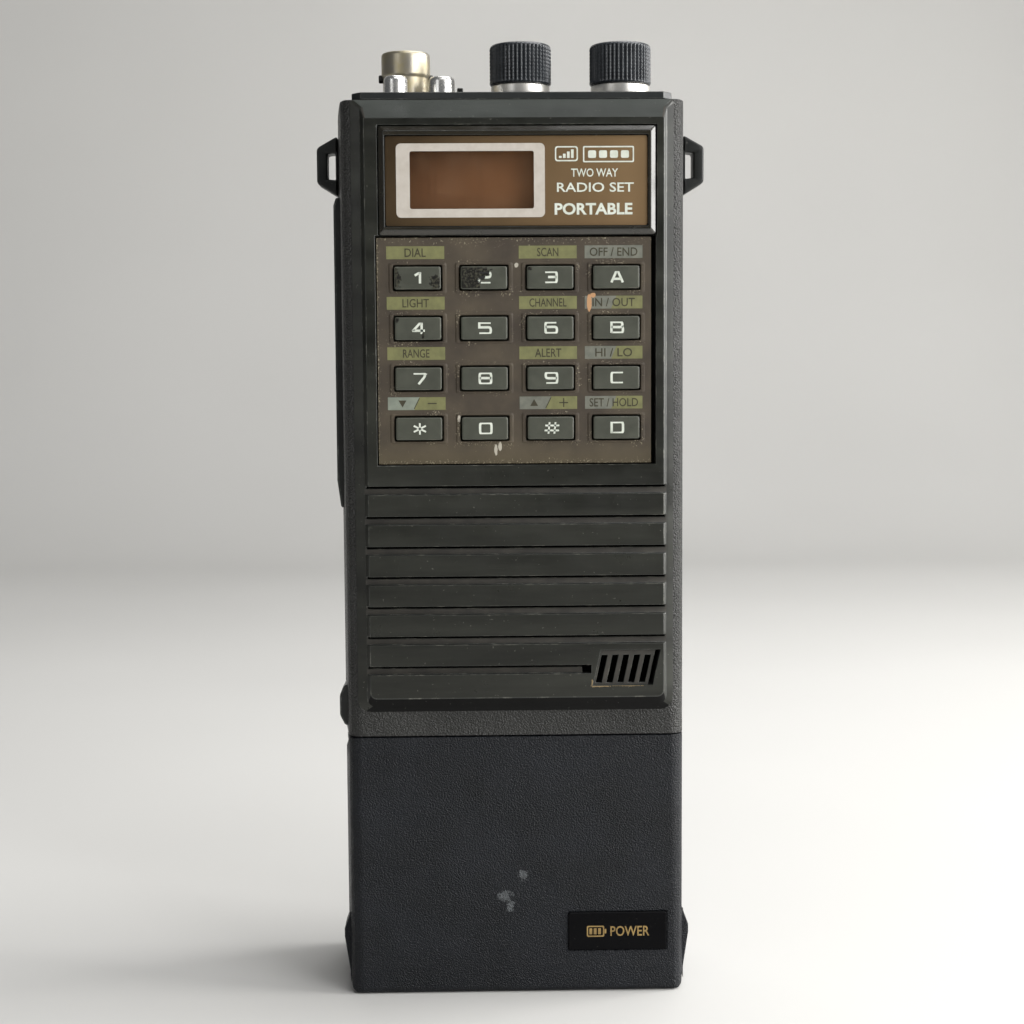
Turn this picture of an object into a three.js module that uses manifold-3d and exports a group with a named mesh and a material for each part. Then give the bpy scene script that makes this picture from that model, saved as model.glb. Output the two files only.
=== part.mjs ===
// A handheld two-way radio with a keypad, a top-mounted antenna socket and a slide-on battery pack.
// Millimetres, +Z up, front towards -Y. The origin is the centre of the battery's underside.
import * as THREE from "three";
import { mergeVertices } from "three/addons/utils/BufferGeometryUtils.js";
import Module from "manifold-3d";

const wasm = await Module();
wasm.setup();

// ---------------------------------------------------------------- driving dimensions

const WALL = 1.8;
const SPLIT_GAP = 0.15; // half of the gap between the two case shells
const CLEAR = 0.3; // between pieces that lie face to face

// Plan of the housing: narrow at the front, widest at mid depth.
const HALF_FRONT = 32.4;
const HALF_MID = 33.6;
const HALF_REAR = 32.9;
const FRONT_CORNER = 2.6;
const REAR_CORNER = 4;
const MID_BACK_Y = 8;

// Depths, from the display bezel back to the rear cover.
const BEZEL_Y = -17.45;
const PANEL_Y = -16.8;
const STEP_Y = -15.9; // foot of the slats, and floor of the grooves between them
const SKIN_Y = -15.3; // textured front skin of the housing and the battery
const KEY_FLOOR_Y = -14.9;
const SPLIT_Y = -1.5;
const REAR_Y = 17.5;
const INNER_FRONT_Y = SKIN_Y + WALL;

// Heights.
const SEAM_Z = 51;
const SEAM_GAP = 0.15;
const BATTERY_TOP_Z = SEAM_Z - SEAM_GAP;
const BODY_BOTTOM_Z = SEAM_Z + SEAM_GAP;
const BODY_TOP_Z = 171.8;
const RIM_Z = 169.4; // above it the housing's wall is thicker, to carry the lid
const RIM_WALL = 3.7;
const LID_GAP = 0.05; // the lid lies on the rim, with no gap to see
const LID_BOTTOM_Z = BODY_TOP_Z + LID_GAP;
const LID_TOP_Z = 173.2;
const SHOULDER_Z = LID_BOTTOM_Z - CLEAR; // top of what is clamped under the lid
const KNOB_TOP_Z = 184.2;

// Front panel, raised from the skin in a gentle slope and then a short steep one.
const PANEL = { left: -27.8, right: 28.4, bottom: 58.7, top: 168.3 };
const PANEL_STEP = { left: -28.5, right: 28.95, bottom: 57, top: 170.4 };
const PANEL_FOOT = { left: -30.3, right: 30.3, bottom: 55.9, top: BODY_TOP_Z };

// Display.
const BEZEL = { left: -25.1, right: 26.8, bottom: 146.6, top: 166.8 };
const BEZEL_BACK_Y = -15.95;
const BEZEL_SLOPE = 0.95; // width of the sloping border
const BEZEL_FOOT_Y = PANEL_Y + 0.1;
const WINDOW = { left: -23.8, right: 25.2, bottom: 148.3, top: 164.9 };
const WINDOW_FRONT_Y = -16.9;
const WINDOW_BACK_Y = -16;
const BEZEL_POCKET_Y = -15.7;
const LCD_OPENING = { left: -20.4, right: 5.1, bottom: 150.3, top: 163.3 };
const LCD = { left: -22, right: 7, bottom: 149.4, top: 164.2 };
const LCD_FRONT_Y = -13.2;
const LCD_BACK_Y = -11.4;

// Keypad.
const KEY_PLATE = { left: -25.7, right: 26, bottom: 103.6, top: 146.2 };
const KEY_RECESS = { left: -25.9, right: 26.8, bottom: 103.4, top: 146.5 };
const KEY_PLATE_FRONT_Y = -16.2;
const KEY_PLATE_BACK_Y = -15.2;
const KEY_ROWS = ["123A", "456B", "789C", "s0hD"];
const KEY_NAMES = { s: "star", h: "hash" };
const KEY_FIRST_X = -18;
const KEY_FIRST_Z = 138.65;
const KEY_PITCH_X = 12.45;
const KEY_PITCH_Z = 9.43;
const KEY_WIDTH = 8.7;
const KEY_HEIGHT = 4.25;
const KEY_SIDE_GAP = 0.3;
const KEY_FRONT_Y = -17.1;
const KEY_FLANGE_FRONT_Y = -13.2;
const KEY_FLANGE_BACK_Y = -12.4;
const KEY_FLANGE_MARGIN = 0.8;
const KEY_MAT = { left: -24, right: 24.5, bottom: 104.5, top: 145.5 };
const KEY_MAT_FRONT_Y = -11.2;
const KEY_MAT_BACK_Y = -10.5;

// Slats and grooves under the keypad.
const GROOVE_COUNT = 7;
const GROOVE_FIRST_TOP_Z = 99.44;
const GROOVE_PITCH = 5.76;
const GROOVE_HEIGHT = 1.6;
const LAST_GROOVE_RIGHT = 14.5;
const LAST_GROOVE_HOLE = 1.7;
const CHANNEL_HEIGHT = 0.4; // narrow deep channel under each slat's lower edge
const CHANNEL_Y = -14.9;
const SLIT_HALF_WIDTH = 17;

// Microphone grille: slanted slots in a slanted recess, the last one as high as the recess.
const MIC_LEAN = 0.22; // sideways for each millimetre up
const MIC_RECESS = { left: 14.8, right: 26.25, bottom: 60.95, top: 67.75 };
const MIC_RECESS_DEPTH = 0.4;
const MIC_SLOTS = 5;
const MIC_SLOT_WIDTH = 1.1;
const MIC_SLOT_LEFT = 15.25;
const MIC_SLOT_PITCH = 2.08;
const MIC_SLOT_BOTTOM_Z = 61.4;
const MIC_SLOT_TOP_Z = 66.7;
const MIC_LAST_LEFT = 25.35;

// Sound.
const SPEAKER = { x: -3, z: 82, r: 18.6 };
const BASKET_FRONT_Y = -13.2;
const MAGNET_R = 9.5;
const MAGNET_BACK_Y = -3.5;
const MIC = { x: 21.5, z: 64.8, r: 4.85, front: -13, back: -8 };

// Top fittings.
const LID = { front: 28.4, half: 30.1, rear: 15.9, corner: 3.5, frontY: SKIN_Y - 0.1, chamfer: 2 };
const ANTENNA = { x: -20.45, y: 4, barrel: 4.3, mouth: 4.8, bore: 4.05, top: 183.3 };
const MIC_JACK = { x: -22, y: -8.5, r: 2.25, bore: 1.3, top: 177.1 };
const EARPHONE_JACK = { x: -13.3, y: -3, r: 2.55, bore: 1.8, top: 177.7 };
const VOLUME_X = 2;
const SQUELCH_X = 21.5;
const KNOB_R = 6;
const KNOB_BOTTOM_Z = 176.4;
const COLLAR_R = 5.7;
const COLLAR_BOTTOM_Z = 173.5;
const SHAFT_R = 3;
const JACK_BODY_R = 2.8;
const SHANK_BOTTOM_Z = 166.8;
const LEVEL_SWITCH = { x: -9.8, y: 6, half: 0.6, top: 176.9, travel: 3 };

// Side controls and strap lugs.
const PTT = { bottom: 94.6, top: 154.6, front: -6, back: 7, outer: -34.4 };
const RELEASE = { bottom: 52.4, top: 60.4, front: -10.8, back: -3.2, outer: -34.2 };
const LUG_FRONT_Y = -1.6;
const LUG_BACK_Y = 3.4;
const LUG_INNER = 33.75;
const LUG_OUTER = 37.8;
const LUG_HOLE = { inner: 33.95, outer: 35.85, bottom: 158.5, top: 163.3 };
const LUG_ROOT = { inner: 31, bottom: 157, top: 165, front: -1, back: 3 };
const LUG_FOOT_X = 31.5;

// Case screws, one to each corner of the rear cover.
const SCREW_R = 1.2;
const SCREW_HEAD_R = 2.3;
const SCREW_HEAD_Y = 15.9;
const SCREW_TOP_Y = 17.1;
const SCREW_TIP_Y = -7;
const BOSS_R = 2.3;
const POST_FRONT_Y = 5.5;
const POST_SEAT_Y = 13.5;
const SCREWS = [
  { name: "upper_left", x: -28.2, z: 165 },
  { name: "upper_right", x: 28.2, z: 165 },
  { name: "lower_left", x: -28.2, z: 74 },
  { name: "lower_right", x: 28.2, z: 74 },
];

// Battery pack and its sliding rail.
const BATTERY_CORNER = 3.5;
const RAIL_NECK = 8;
const RAIL_HEAD = 11;
const RAIL_GAP = 0.4;
const RAIL_NECK_Z = 49.1;
const RAIL_HEAD_Z = 47.2;
const RAIL_LEFT = -30.5;
const RAIL_RIGHT = 29.6;
const CELL_R = 6.9;
const CELL_FRONT_Y = -6.2;
const CELL_REAR_Y = 8.4;
const CELL_PITCH = 14.6;
const COVER_BOTTOM_Z = 45.1;
const COVER_TOP_Z = 50.5;
const CELL_BOTTOM_Z = 2.2;
const CELL_TOP_Z = 44.2;
const BASE_TOP_Z = 53.5;
const PIN_R = 1.2;
const CONTACT_Y = 13;
const TAB_HALF = 1.2;
const TAB_THICK = 0.5;
const CONTACT_POSITIVE_X = 21;
const CONTACT_NEGATIVE_X = 14;
const LABEL = { left: 10, right: 29.1, bottom: 8.4, top: 15.9 };

// Far enough out for a cutting tool to clear the housing.
const OUT_X = 40;
const FLANK_X = 30;

// ---------------------------------------------------------------- finishes

const finish = (color, roughness, metalness) =>
  new THREE.MeshStandardMaterial({ color, roughness, metalness });
const textured = finish(0x3a3b39, 0.75, 0);
const smooth = finish(0x34352f, 0.5, 0);
const batterySkin = finish(0x292a2d, 0.7, 0);
const keyplate = finish(0x554c41, 0.7, 0.1);
const keycap = finish(0x4c4d43, 0.55, 0);
const smoked = finish(0x5a482f, 0.2, 0);
const glass = finish(0x6a4b34, 0.15, 0);
const nickel = finish(0xb9b5a6, 0.35, 1);
const steel = finish(0xc9cac8, 0.35, 1);
const brass = finish(0xb9a060, 0.35, 1);
const knurled = finish(0x26282a, 0.45, 0);
const board = finish(0x2f5a3a, 0.6, 0);
const plate = finish(0x9a9c9c, 0.5, 0.8);
const rubber = finish(0x55564f, 0.9, 0);
const paper = finish(0x3b3833, 0.9, 0);
const gloss = finish(0x111214, 0.15, 0);
const insulation = finish(0xe6e2d8, 0.6, 0);
const wrap = finish(0x2c6a4a, 0.5, 0);

// ---------------------------------------------------------------- solids

// A closed geometry as a solid that can be joined and cut.
function solid(geometry) {
  const bare = geometry.clone();
  bare.deleteAttribute("normal");
  bare.deleteAttribute("uv");
  const merged = mergeVertices(bare, 1e-4);
  const mesh = new wasm.Mesh({
    numProp: 3,
    vertProperties: merged.attributes.position.array,
    triVerts: new Uint32Array(merged.index.array),
  });
  return new wasm.Manifold(mesh);
}

function geometryOf(body) {
  const mesh = body.getMesh();
  const geometry = new THREE.BufferGeometry();
  geometry.setAttribute("position", new THREE.BufferAttribute(mesh.vertProperties, 3));
  geometry.setIndex(new THREE.BufferAttribute(mesh.triVerts, 1));
  geometry.computeVertexNormals();
  return geometry;
}

const join = (...bodies) => bodies.reduce((whole, next) => whole.add(next));
const cut = (body, ...tools) => tools.reduce((left, tool) => left.subtract(tool), body);

function box(x0, x1, y0, y1, z0, z1) {
  const geometry = new THREE.BoxGeometry(x1 - x0, y1 - y0, z1 - z0);
  geometry.translate((x0 + x1) / 2, (y0 + y1) / 2, (z0 + z1) / 2);
  return solid(geometry);
}

// A box over a front-view rectangle.
const slab = (area, y0, y1) => box(area.left, area.right, y0, y1, area.bottom, area.top);

function extrusion(points, length) {
  const shape = new THREE.Shape(points);
  return new THREE.ExtrudeGeometry(shape, { depth: length, bevelEnabled: false });
}

// Outline in X and Y, raised along Z.
function riseZ(points, z0, z1) {
  return solid(extrusion(points, z1 - z0).translate(0, 0, z0));
}

// Outline in X and Z, swept along Y.
function sweepY(points, y0, y1) {
  return solid(extrusion(points, y1 - y0).rotateX(Math.PI / 2).translate(0, y1, 0));
}

// Outline in Y and Z, swept along X.
function sweepX(points, x0, x1) {
  const turn = new THREE.Matrix4().set(0, 0, 1, 0, 1, 0, 0, 0, 0, 1, 0, 0, 0, 0, 0, 1);
  return solid(extrusion(points, x1 - x0).applyMatrix4(turn).translate(x0, 0, 0));
}

function rodZ(x, y, r, z0, z1, sides = 20) {
  const geometry = new THREE.CylinderGeometry(r, r, z1 - z0, sides).rotateX(Math.PI / 2);
  return solid(geometry.translate(x, y, (z0 + z1) / 2));
}

function rodY(x, z, r, y0, y1, sides = 16) {
  const geometry = new THREE.CylinderGeometry(r, r, y1 - y0, sides);
  return solid(geometry.translate(x, (y0 + y1) / 2, z));
}

function rodX(y, z, r, x0, x1, sides = 10) {
  const geometry = new THREE.CylinderGeometry(r, r, x1 - x0, sides).rotateZ(Math.PI / 2);
  return solid(geometry.translate((x0 + x1) / 2, y, z));
}

// A profile of [radius, height] points, listed anticlockwise, turned about a vertical axis.
function turnZ(x, y, profile, sides = 28) {
  const points = profile.map(([r, z]) => new THREE.Vector2(r, z));
  const geometry = new THREE.LatheGeometry(points, sides).rotateX(Math.PI / 2);
  return solid(geometry.translate(x, y, 0));
}

// The same about an axis that runs from front to back: the profile's height is its depth.
function turnY(x, z, profile, sides = 28) {
  const points = profile.map(([r, y]) => new THREE.Vector2(r, y));
  const geometry = new THREE.LatheGeometry(points, sides);
  return solid(geometry.translate(x, 0, z));
}

// Points along a circular arc, angles in degrees.
function arc(cx, cy, r, start, end, steps = 4) {
  return Array.from({ length: steps + 1 }, (_, i) => {
    const angle = THREE.MathUtils.degToRad(start + ((end - start) * i) / steps);
    return new THREE.Vector2(cx + r * Math.cos(angle), cy + r * Math.sin(angle));
  });
}

// An area's rectangle with its own radius at the lower and the upper corners.
function rounded(area, lower, upper = lower) {
  const { left, right, bottom, top } = area;
  return [
    ...arc(right - lower, bottom + lower, lower, -90, 0),
    ...arc(right - upper, top - upper, upper, 0, 90),
    ...arc(left + upper, top - upper, upper, 90, 180),
    ...arc(left + lower, bottom + lower, lower, 180, 270),
  ];
}

// A solid through front-view outlines that all have the same number of points.
// The sections are [depth, outline] pairs, front first.
function loftY(sections) {
  const count = sections[0][1].length;
  const positions = sections.flatMap(([y, points]) => points.flatMap((p) => [p.x, y, p.y]));
  const triangles = [];
  for (let ring = 0; ring + 1 < sections.length; ring++) {
    for (let i = 0; i < count; i++) {
      const a = ring * count + i;
      const b = ring * count + ((i + 1) % count);
      triangles.push(a, b + count, b, a, a + count, b + count);
    }
  }
  const cap = THREE.ShapeUtils.triangulateShape(sections[0][1], []);
  const last = (sections.length - 1) * count;
  for (const [a, b, c] of cap) {
    triangles.push(a, b, c, last + a, last + c, last + b);
  }
  const geometry = new THREE.BufferGeometry();
  geometry.setAttribute("position", new THREE.Float32BufferAttribute(positions, 3));
  geometry.setIndex(triangles);
  return solid(geometry);
}

const grown = (area, margin) => ({
  left: area.left - margin,
  right: area.right + margin,
  bottom: area.bottom - margin,
  top: area.top + margin,
});

// ---------------------------------------------------------------- scene graph

const radio = new THREE.Group();

function add(name, material, body) {
  const mesh = new THREE.Mesh(geometryOf(body), material);
  mesh.name = name;
  radio.add(mesh);
}

// ---------------------------------------------------------------- housing

// Plan of the housing, moved inwards by an inset.
function plan(inset) {
  const front = HALF_FRONT - inset;
  const middle = HALF_MID - inset;
  const rear = HALF_REAR - inset;
  const frontR = Math.max(FRONT_CORNER - inset, 0.6);
  const rearR = REAR_CORNER - inset;
  const frontY = SKIN_Y + inset + frontR;
  const rearY = REAR_Y - inset - rearR;
  return [
    ...arc(front - frontR, frontY, frontR, -90, 0),
    new THREE.Vector2(middle, SPLIT_Y),
    new THREE.Vector2(middle, MID_BACK_Y),
    ...arc(rear - rearR, rearY, rearR, 0, 90),
    ...arc(-rear + rearR, rearY, rearR, 90, 180),
    new THREE.Vector2(-middle, MID_BACK_Y),
    new THREE.Vector2(-middle, SPLIT_Y),
    ...arc(-front + frontR, frontY, frontR, 180, 270),
  ];
}

const bodyOutline = { left: -HALF_MID, right: HALF_MID, bottom: BODY_BOTTOM_Z, top: BODY_TOP_Z };
const beyond = { y0: BEZEL_Y - 1, y1: REAR_Y + 1 };

function housingTube() {
  const outer = riseZ(plan(0), BODY_BOTTOM_Z, BODY_TOP_Z);
  const shoulders = sweepY(rounded(bodyOutline, 0.2, 2.2), beyond.y0, beyond.y1);
  const hollow = riseZ(plan(WALL), BODY_BOTTOM_Z - 1, RIM_Z);
  const mouth = riseZ(plan(RIM_WALL), RIM_Z - 1, BODY_TOP_Z + 1);
  return cut(outer.intersect(shoulders), hollow, mouth);
}

// Opening in the left flank for a button.
const flankOpening = ({ front, back, bottom, top }) =>
  box(-OUT_X, -FLANK_X, front - CLEAR, back + CLEAR, bottom - CLEAR, top + CLEAR);

const grooveTop = (i) => GROOVE_FIRST_TOP_Z - GROOVE_PITCH * i;

function grooves() {
  return Array.from({ length: GROOVE_COUNT }, (_, i) => {
    const top = grooveTop(i);
    const last = i === GROOVE_COUNT - 1;
    const right = last ? LAST_GROOVE_RIGHT : HALF_MID;
    return box(-HALF_MID, right, beyond.y0, STEP_Y, top - GROOVE_HEIGHT, top);
  });
}

// Channels at the top of the grooves' floors, as wide as the foot of the slats.
function channels() {
  return Array.from({ length: GROOVE_COUNT }, (_, i) => {
    const top = grooveTop(i);
    const last = i === GROOVE_COUNT - 1;
    const right = last ? LAST_GROOVE_RIGHT : PANEL_STEP.right - CLEAR;
    const left = PANEL_STEP.left + CLEAR;
    return box(left, right, STEP_Y - 0.5, CHANNEL_Y, top - CHANNEL_HEIGHT, top);
  });
}

// Slits through the bottom of the channels in front of the speaker.
function speakerSlits() {
  return Array.from({ length: GROOVE_COUNT - 2 }, (_, i) => {
    const top = grooveTop(i + 1);
    const left = SPEAKER.x - SLIT_HALF_WIDTH;
    const right = SPEAKER.x + SLIT_HALF_WIDTH;
    return box(left, right, STEP_Y - 0.5, INNER_FRONT_Y + 1, top - CHANNEL_HEIGHT, top);
  });
}

// A cut whose sides lean to the right, from the front to a depth.
function slanted({ left, right, bottom, top }, depth) {
  const lean = (z) => MIC_LEAN * (z - MIC_RECESS.bottom);
  const points = [
    new THREE.Vector2(left + lean(bottom), bottom),
    new THREE.Vector2(right + lean(bottom), bottom),
    new THREE.Vector2(right + lean(top), top),
    new THREE.Vector2(left + lean(top), top),
  ];
  return sweepY(points, beyond.y0, depth);
}

function micGrille() {
  const through = INNER_FRONT_Y + 1;
  const slots = Array.from({ length: MIC_SLOTS }, (_, i) => {
    const left = MIC_SLOT_LEFT + MIC_SLOT_PITCH * i;
    const right = left + MIC_SLOT_WIDTH;
    return slanted({ left, right, bottom: MIC_SLOT_BOTTOM_Z, top: MIC_SLOT_TOP_Z }, through);
  });
  return [
    slanted(MIC_RECESS, PANEL_Y + MIC_RECESS_DEPTH),
    slanted({ ...MIC_RECESS, left: MIC_LAST_LEFT }, through),
    ...slots,
  ];
}

function keyCentres() {
  return KEY_ROWS.flatMap((row, r) =>
    [...row].map((mark, c) => ({
      name: "key_" + (KEY_NAMES[mark] ?? mark).toLowerCase(),
      x: KEY_FIRST_X + KEY_PITCH_X * c,
      z: KEY_FIRST_Z - KEY_PITCH_Z * r,
    })),
  );
}

const around = (x, z, width, height) => ({
  left: x - width / 2,
  right: x + width / 2,
  bottom: z - height / 2,
  top: z + height / 2,
});

const keyHoles = (y0, y1) =>
  keyCentres().map(({ x, z }) =>
    slab(around(x, z, KEY_WIDTH + 2 * KEY_SIDE_GAP, KEY_HEIGHT + 2 * KEY_SIDE_GAP), y0, y1),
  );

function frontCase() {
  const half = box(-OUT_X, OUT_X, beyond.y0, SPLIT_Y - SPLIT_GAP, 0, KNOB_TOP_Z);
  const panel = loftY([
    [PANEL_Y, rounded(PANEL, 1.2, 0.4)],
    [STEP_Y, rounded(PANEL_STEP, 1.7, 0.6)],
    [SKIN_Y, rounded(PANEL_FOOT, 2.4, 0.8)],
    [INNER_FRONT_Y, rounded(PANEL_FOOT, 2.4, 0.8)],
  ]);
  const bosses = SCREWS.map(({ x, z }) =>
    cut(
      rodY(x, z, BOSS_R, INNER_FRONT_Y - 0.1, SPLIT_Y - 0.7),
      rodY(x, z, SCREW_R + 0.15, SCREW_TIP_Y - 5, SPLIT_Y, 10),
    ),
  );
  const whole = join(housingTube().intersect(half), panel, ...bosses);
  const lastTop = grooveTop(GROOVE_COUNT - 1);
  const lastHole = box(
    LAST_GROOVE_RIGHT - LAST_GROOVE_HOLE,
    LAST_GROOVE_RIGHT,
    beyond.y0,
    INNER_FRONT_Y + 1,
    lastTop - GROOVE_HEIGHT,
    lastTop,
  );
  return cut(
    whole,
    slab(KEY_RECESS, beyond.y0, KEY_FLOOR_Y),
    slab(grown(BEZEL, 0.2), beyond.y0, BEZEL_POCKET_Y),
    slab(LCD_OPENING, beyond.y0, INNER_FRONT_Y + 1),
    ...keyHoles(KEY_FLOOR_Y - 1, INNER_FRONT_Y + 1),
    ...grooves(),
    ...channels(),
    ...speakerSlits(),
    ...micGrille(),
    lastHole,
    flankOpening(PTT),
    flankOpening(RELEASE),
  );
}

function rearCase() {
  const half = box(-OUT_X, OUT_X, SPLIT_Y + SPLIT_GAP, beyond.y1, 0, KNOB_TOP_Z);
  const inside = riseZ(plan(0.2), BODY_BOTTOM_Z, BODY_TOP_Z);
  const posts = SCREWS.flatMap(({ x, z }) => [
    rodY(x, z, BOSS_R, POST_FRONT_Y, POST_SEAT_Y + 0.5),
    rodY(x, z, BOSS_R + 0.9, POST_SEAT_Y, REAR_Y - 0.2),
  ]);
  const body = join(housingTube(), ...posts.map((post) => post.intersect(inside)));
  const screwHoles = SCREWS.flatMap(({ x, z }) => [
    rodY(x, z, SCREW_R + CLEAR, POST_FRONT_Y - 1, beyond.y1, 10),
    rodY(x, z, SCREW_HEAD_R + CLEAR, SCREW_HEAD_Y - CLEAR, beyond.y1),
  ]);
  const lugNotches = [-1, 1].map((side) => {
    const [near, far] = [FLANK_X * side, OUT_X * side].sort((a, b) => a - b);
    const { bottom, top, back } = LUG_ROOT;
    return box(near, far, SPLIT_Y, back + 0.25, bottom - CLEAR, top + CLEAR);
  });
  return cut(body.intersect(half), ...screwHoles, ...lugNotches, flankOpening(PTT));
}

// Lid with its corners cut off to meet the slopes of the front panel.
function topPanel() {
  const { front, half, rear, corner, frontY, chamfer } = LID;
  const points = [
    new THREE.Vector2(front, frontY),
    new THREE.Vector2(half, frontY + chamfer),
    ...arc(half - corner, rear - corner, corner, 0, 90),
    ...arc(corner - half, rear - corner, corner, 90, 180),
    new THREE.Vector2(-half, frontY + chamfer),
    new THREE.Vector2(-front, frontY),
  ];
  const below = LID_BOTTOM_Z - 1;
  const above = LID_TOP_Z + 1;
  return cut(
    riseZ(points, LID_BOTTOM_Z, LID_TOP_Z),
    rodZ(ANTENNA.x, ANTENNA.y, ANTENNA.barrel + 0.1, below, above),
    rodZ(MIC_JACK.x, MIC_JACK.y, MIC_JACK.r + 0.2, below, above),
    rodZ(EARPHONE_JACK.x, EARPHONE_JACK.y, EARPHONE_JACK.r + 0.2, below, above),
    rodZ(VOLUME_X, 0, SHAFT_R + 0.4, below, above),
    rodZ(SQUELCH_X, 0, SHAFT_R + 0.4, below, above),
    box(
      LEVEL_SWITCH.x - 1,
      LEVEL_SWITCH.x + LEVEL_SWITCH.travel + 1,
      LEVEL_SWITCH.y - 1.3,
      LEVEL_SWITCH.y + 1.3,
      below,
      above,
    ),
  );
}

// Metal base with the T rail that the battery slides onto.
function railPlate() {
  return cut(
    join(
      riseZ(plan(WALL + CLEAR), BODY_BOTTOM_Z, BASE_TOP_Z),
      box(RAIL_LEFT, RAIL_RIGHT, -RAIL_NECK, RAIL_NECK, RAIL_NECK_Z - 0.1, BODY_BOTTOM_Z + 1),
      box(RAIL_LEFT, RAIL_RIGHT, -RAIL_HEAD, RAIL_HEAD, RAIL_HEAD_Z, RAIL_NECK_Z),
    ),
    rodZ(CONTACT_POSITIVE_X, CONTACT_Y, PIN_R + CLEAR, SEAM_Z, BASE_TOP_Z + 1, 12),
    rodZ(CONTACT_NEGATIVE_X, CONTACT_Y, PIN_R + CLEAR, SEAM_Z, BASE_TOP_Z + 1, 12),
    box(-OUT_X, -28, RELEASE.front - 1, RELEASE.back + 1, RELEASE.bottom - CLEAR, BASE_TOP_Z + 1),
  );
}

// Strap loop outside, a block through the notch in the wall, and a foot inside.
function strapLug(side) {
  const point = (x, z) => new THREE.Vector2(side * x, z);
  const loop = [
    point(LUG_INNER, 155.1),
    point(LUG_OUTER, 157.6),
    point(LUG_OUTER, 164.5),
    point(LUG_INNER, 166.8),
  ];
  const block = (x0, x1, y0, y1, z0, z1) =>
    side > 0 ? box(x0, x1, y0, y1, z0, z1) : box(-x1, -x0, y0, y1, z0, z1);
  const { inner, outer, bottom, top } = LUG_HOLE;
  const hole = block(inner, outer, LUG_FRONT_Y - 1, LUG_BACK_Y + 1, bottom, top);
  const { front, back } = LUG_ROOT;
  return join(
    cut(sweepY(side > 0 ? loop : loop.reverse(), LUG_FRONT_Y, LUG_BACK_Y), hole),
    block(LUG_ROOT.inner, inner - 0.05, front, back, LUG_ROOT.bottom, LUG_ROOT.top),
    block(LUG_ROOT.inner, LUG_FOOT_X, front, back, LUG_ROOT.bottom - 1, LUG_ROOT.top + 1.2),
  );
}

add("front_case", textured, frontCase());
add("rear_case", textured, rearCase());
add("top_panel", smooth, topPanel());
add("rail_plate", plate, railPlate());
add("strap_lug_left", smooth, strapLug(-1));
add("strap_lug_right", smooth, strapLug(1));

SCREWS.forEach(({ name, x, z }) => {
  const shank = rodY(x, z, SCREW_R, SCREW_TIP_Y, SCREW_HEAD_Y + 0.1, 10);
  const head = rodY(x, z, SCREW_HEAD_R, SCREW_HEAD_Y, SCREW_TOP_Y);
  const slot = slab(around(x, z, 3.6, 0.6), SCREW_TOP_Y - 0.5, beyond.y1);
  const crossSlot = slab(around(x, z, 0.6, 3.6), SCREW_TOP_Y - 0.5, beyond.y1);
  add("case_screw_" + name, steel, cut(join(shank, head), slot, crossSlot));
});

// ---------------------------------------------------------------- display and keypad

// Frame round the window, its outer edge sloping back to the panel.
function displayBezel() {
  const outer = loftY([
    [BEZEL_Y, rounded(grown(BEZEL, -BEZEL_SLOPE), 0.3)],
    [BEZEL_FOOT_Y, rounded(BEZEL, 0.5)],
    [BEZEL_BACK_Y, rounded(BEZEL, 0.5)],
  ]);
  return outer.subtract(slab(grown(WINDOW, 0.15), beyond.y0, 0));
}

function key(x, z) {
  return join(
    slab(around(x, z, KEY_WIDTH, KEY_HEIGHT), KEY_FRONT_Y, KEY_FLANGE_FRONT_Y + 0.1),
    slab(
      around(x, z, KEY_WIDTH + 2 * KEY_FLANGE_MARGIN, KEY_HEIGHT + 2 * KEY_FLANGE_MARGIN),
      KEY_FLANGE_FRONT_Y,
      KEY_FLANGE_BACK_Y,
    ),
  );
}

add("display_bezel", smooth, displayBezel());
add("display_window", smoked, slab(WINDOW, WINDOW_FRONT_Y, WINDOW_BACK_Y));
add("lcd_panel", glass, slab(LCD, LCD_FRONT_Y, LCD_BACK_Y));
add(
  "keypad_plate",
  keyplate,
  cut(slab(KEY_PLATE, KEY_PLATE_FRONT_Y, KEY_PLATE_BACK_Y), ...keyHoles(beyond.y0, INNER_FRONT_Y)),
);
keyCentres().forEach(({ name, x, z }) => add(name, keycap, key(x, z)));
add("keypad_mat", rubber, slab(KEY_MAT, KEY_MAT_FRONT_Y, KEY_MAT_BACK_Y));

// ---------------------------------------------------------------- inside

// Where the inner metalwork and boards sit, as front-view areas.
const CHASSIS = { left: -24.4, right: 24.4, bottom: 54, top: 155 };
const CHASSIS_SHEET = 1.2;
const LOGIC_BOARD = { left: -24, right: 24, bottom: 102.4, top: 160 };
const RF_BOARD = { left: -22, right: 22, bottom: 58, top: 150 };
const SHIELDS = [
  { left: -18, right: 6, bottom: 84, top: 146, back: 9.5 },
  { left: 9, right: 19, bottom: 100, top: 140, back: 8 },
  { left: -14, right: 14, bottom: 62, top: 78, back: 8.5 },
];

// A sheet with two folded sides, and posts that carry the radio board.
function chassis() {
  const front = SPLIT_Y - 0.5;
  const back = front + CHASSIS_SHEET;
  const posts = [-18, 18].flatMap((x) => [62, 146].map((z) => rodY(x, z, 2, back - 0.2, 2.8, 10)));
  const { left, right } = CHASSIS;
  return join(
    slab(CHASSIS, front, back),
    slab({ ...CHASSIS, right: left + CHASSIS_SHEET }, front, 9),
    slab({ ...CHASSIS, left: right - CHASSIS_SHEET }, front, 9),
    ...posts,
  );
}

// Basket, and the magnet behind it.
function speakerFrame() {
  const { x, z, r } = SPEAKER;
  return turnY(x, z, [
    [0, -8.9],
    [6, -8.9],
    [r - 1, BASKET_FRONT_Y],
    [r, BASKET_FRONT_Y],
    [r, BASKET_FRONT_Y + 0.8],
    [r - 1.4, BASKET_FRONT_Y + 1],
    [MAGNET_R, -8.5],
    [MAGNET_R, MAGNET_BACK_Y],
    [0, MAGNET_BACK_Y],
  ]);
}

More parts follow.
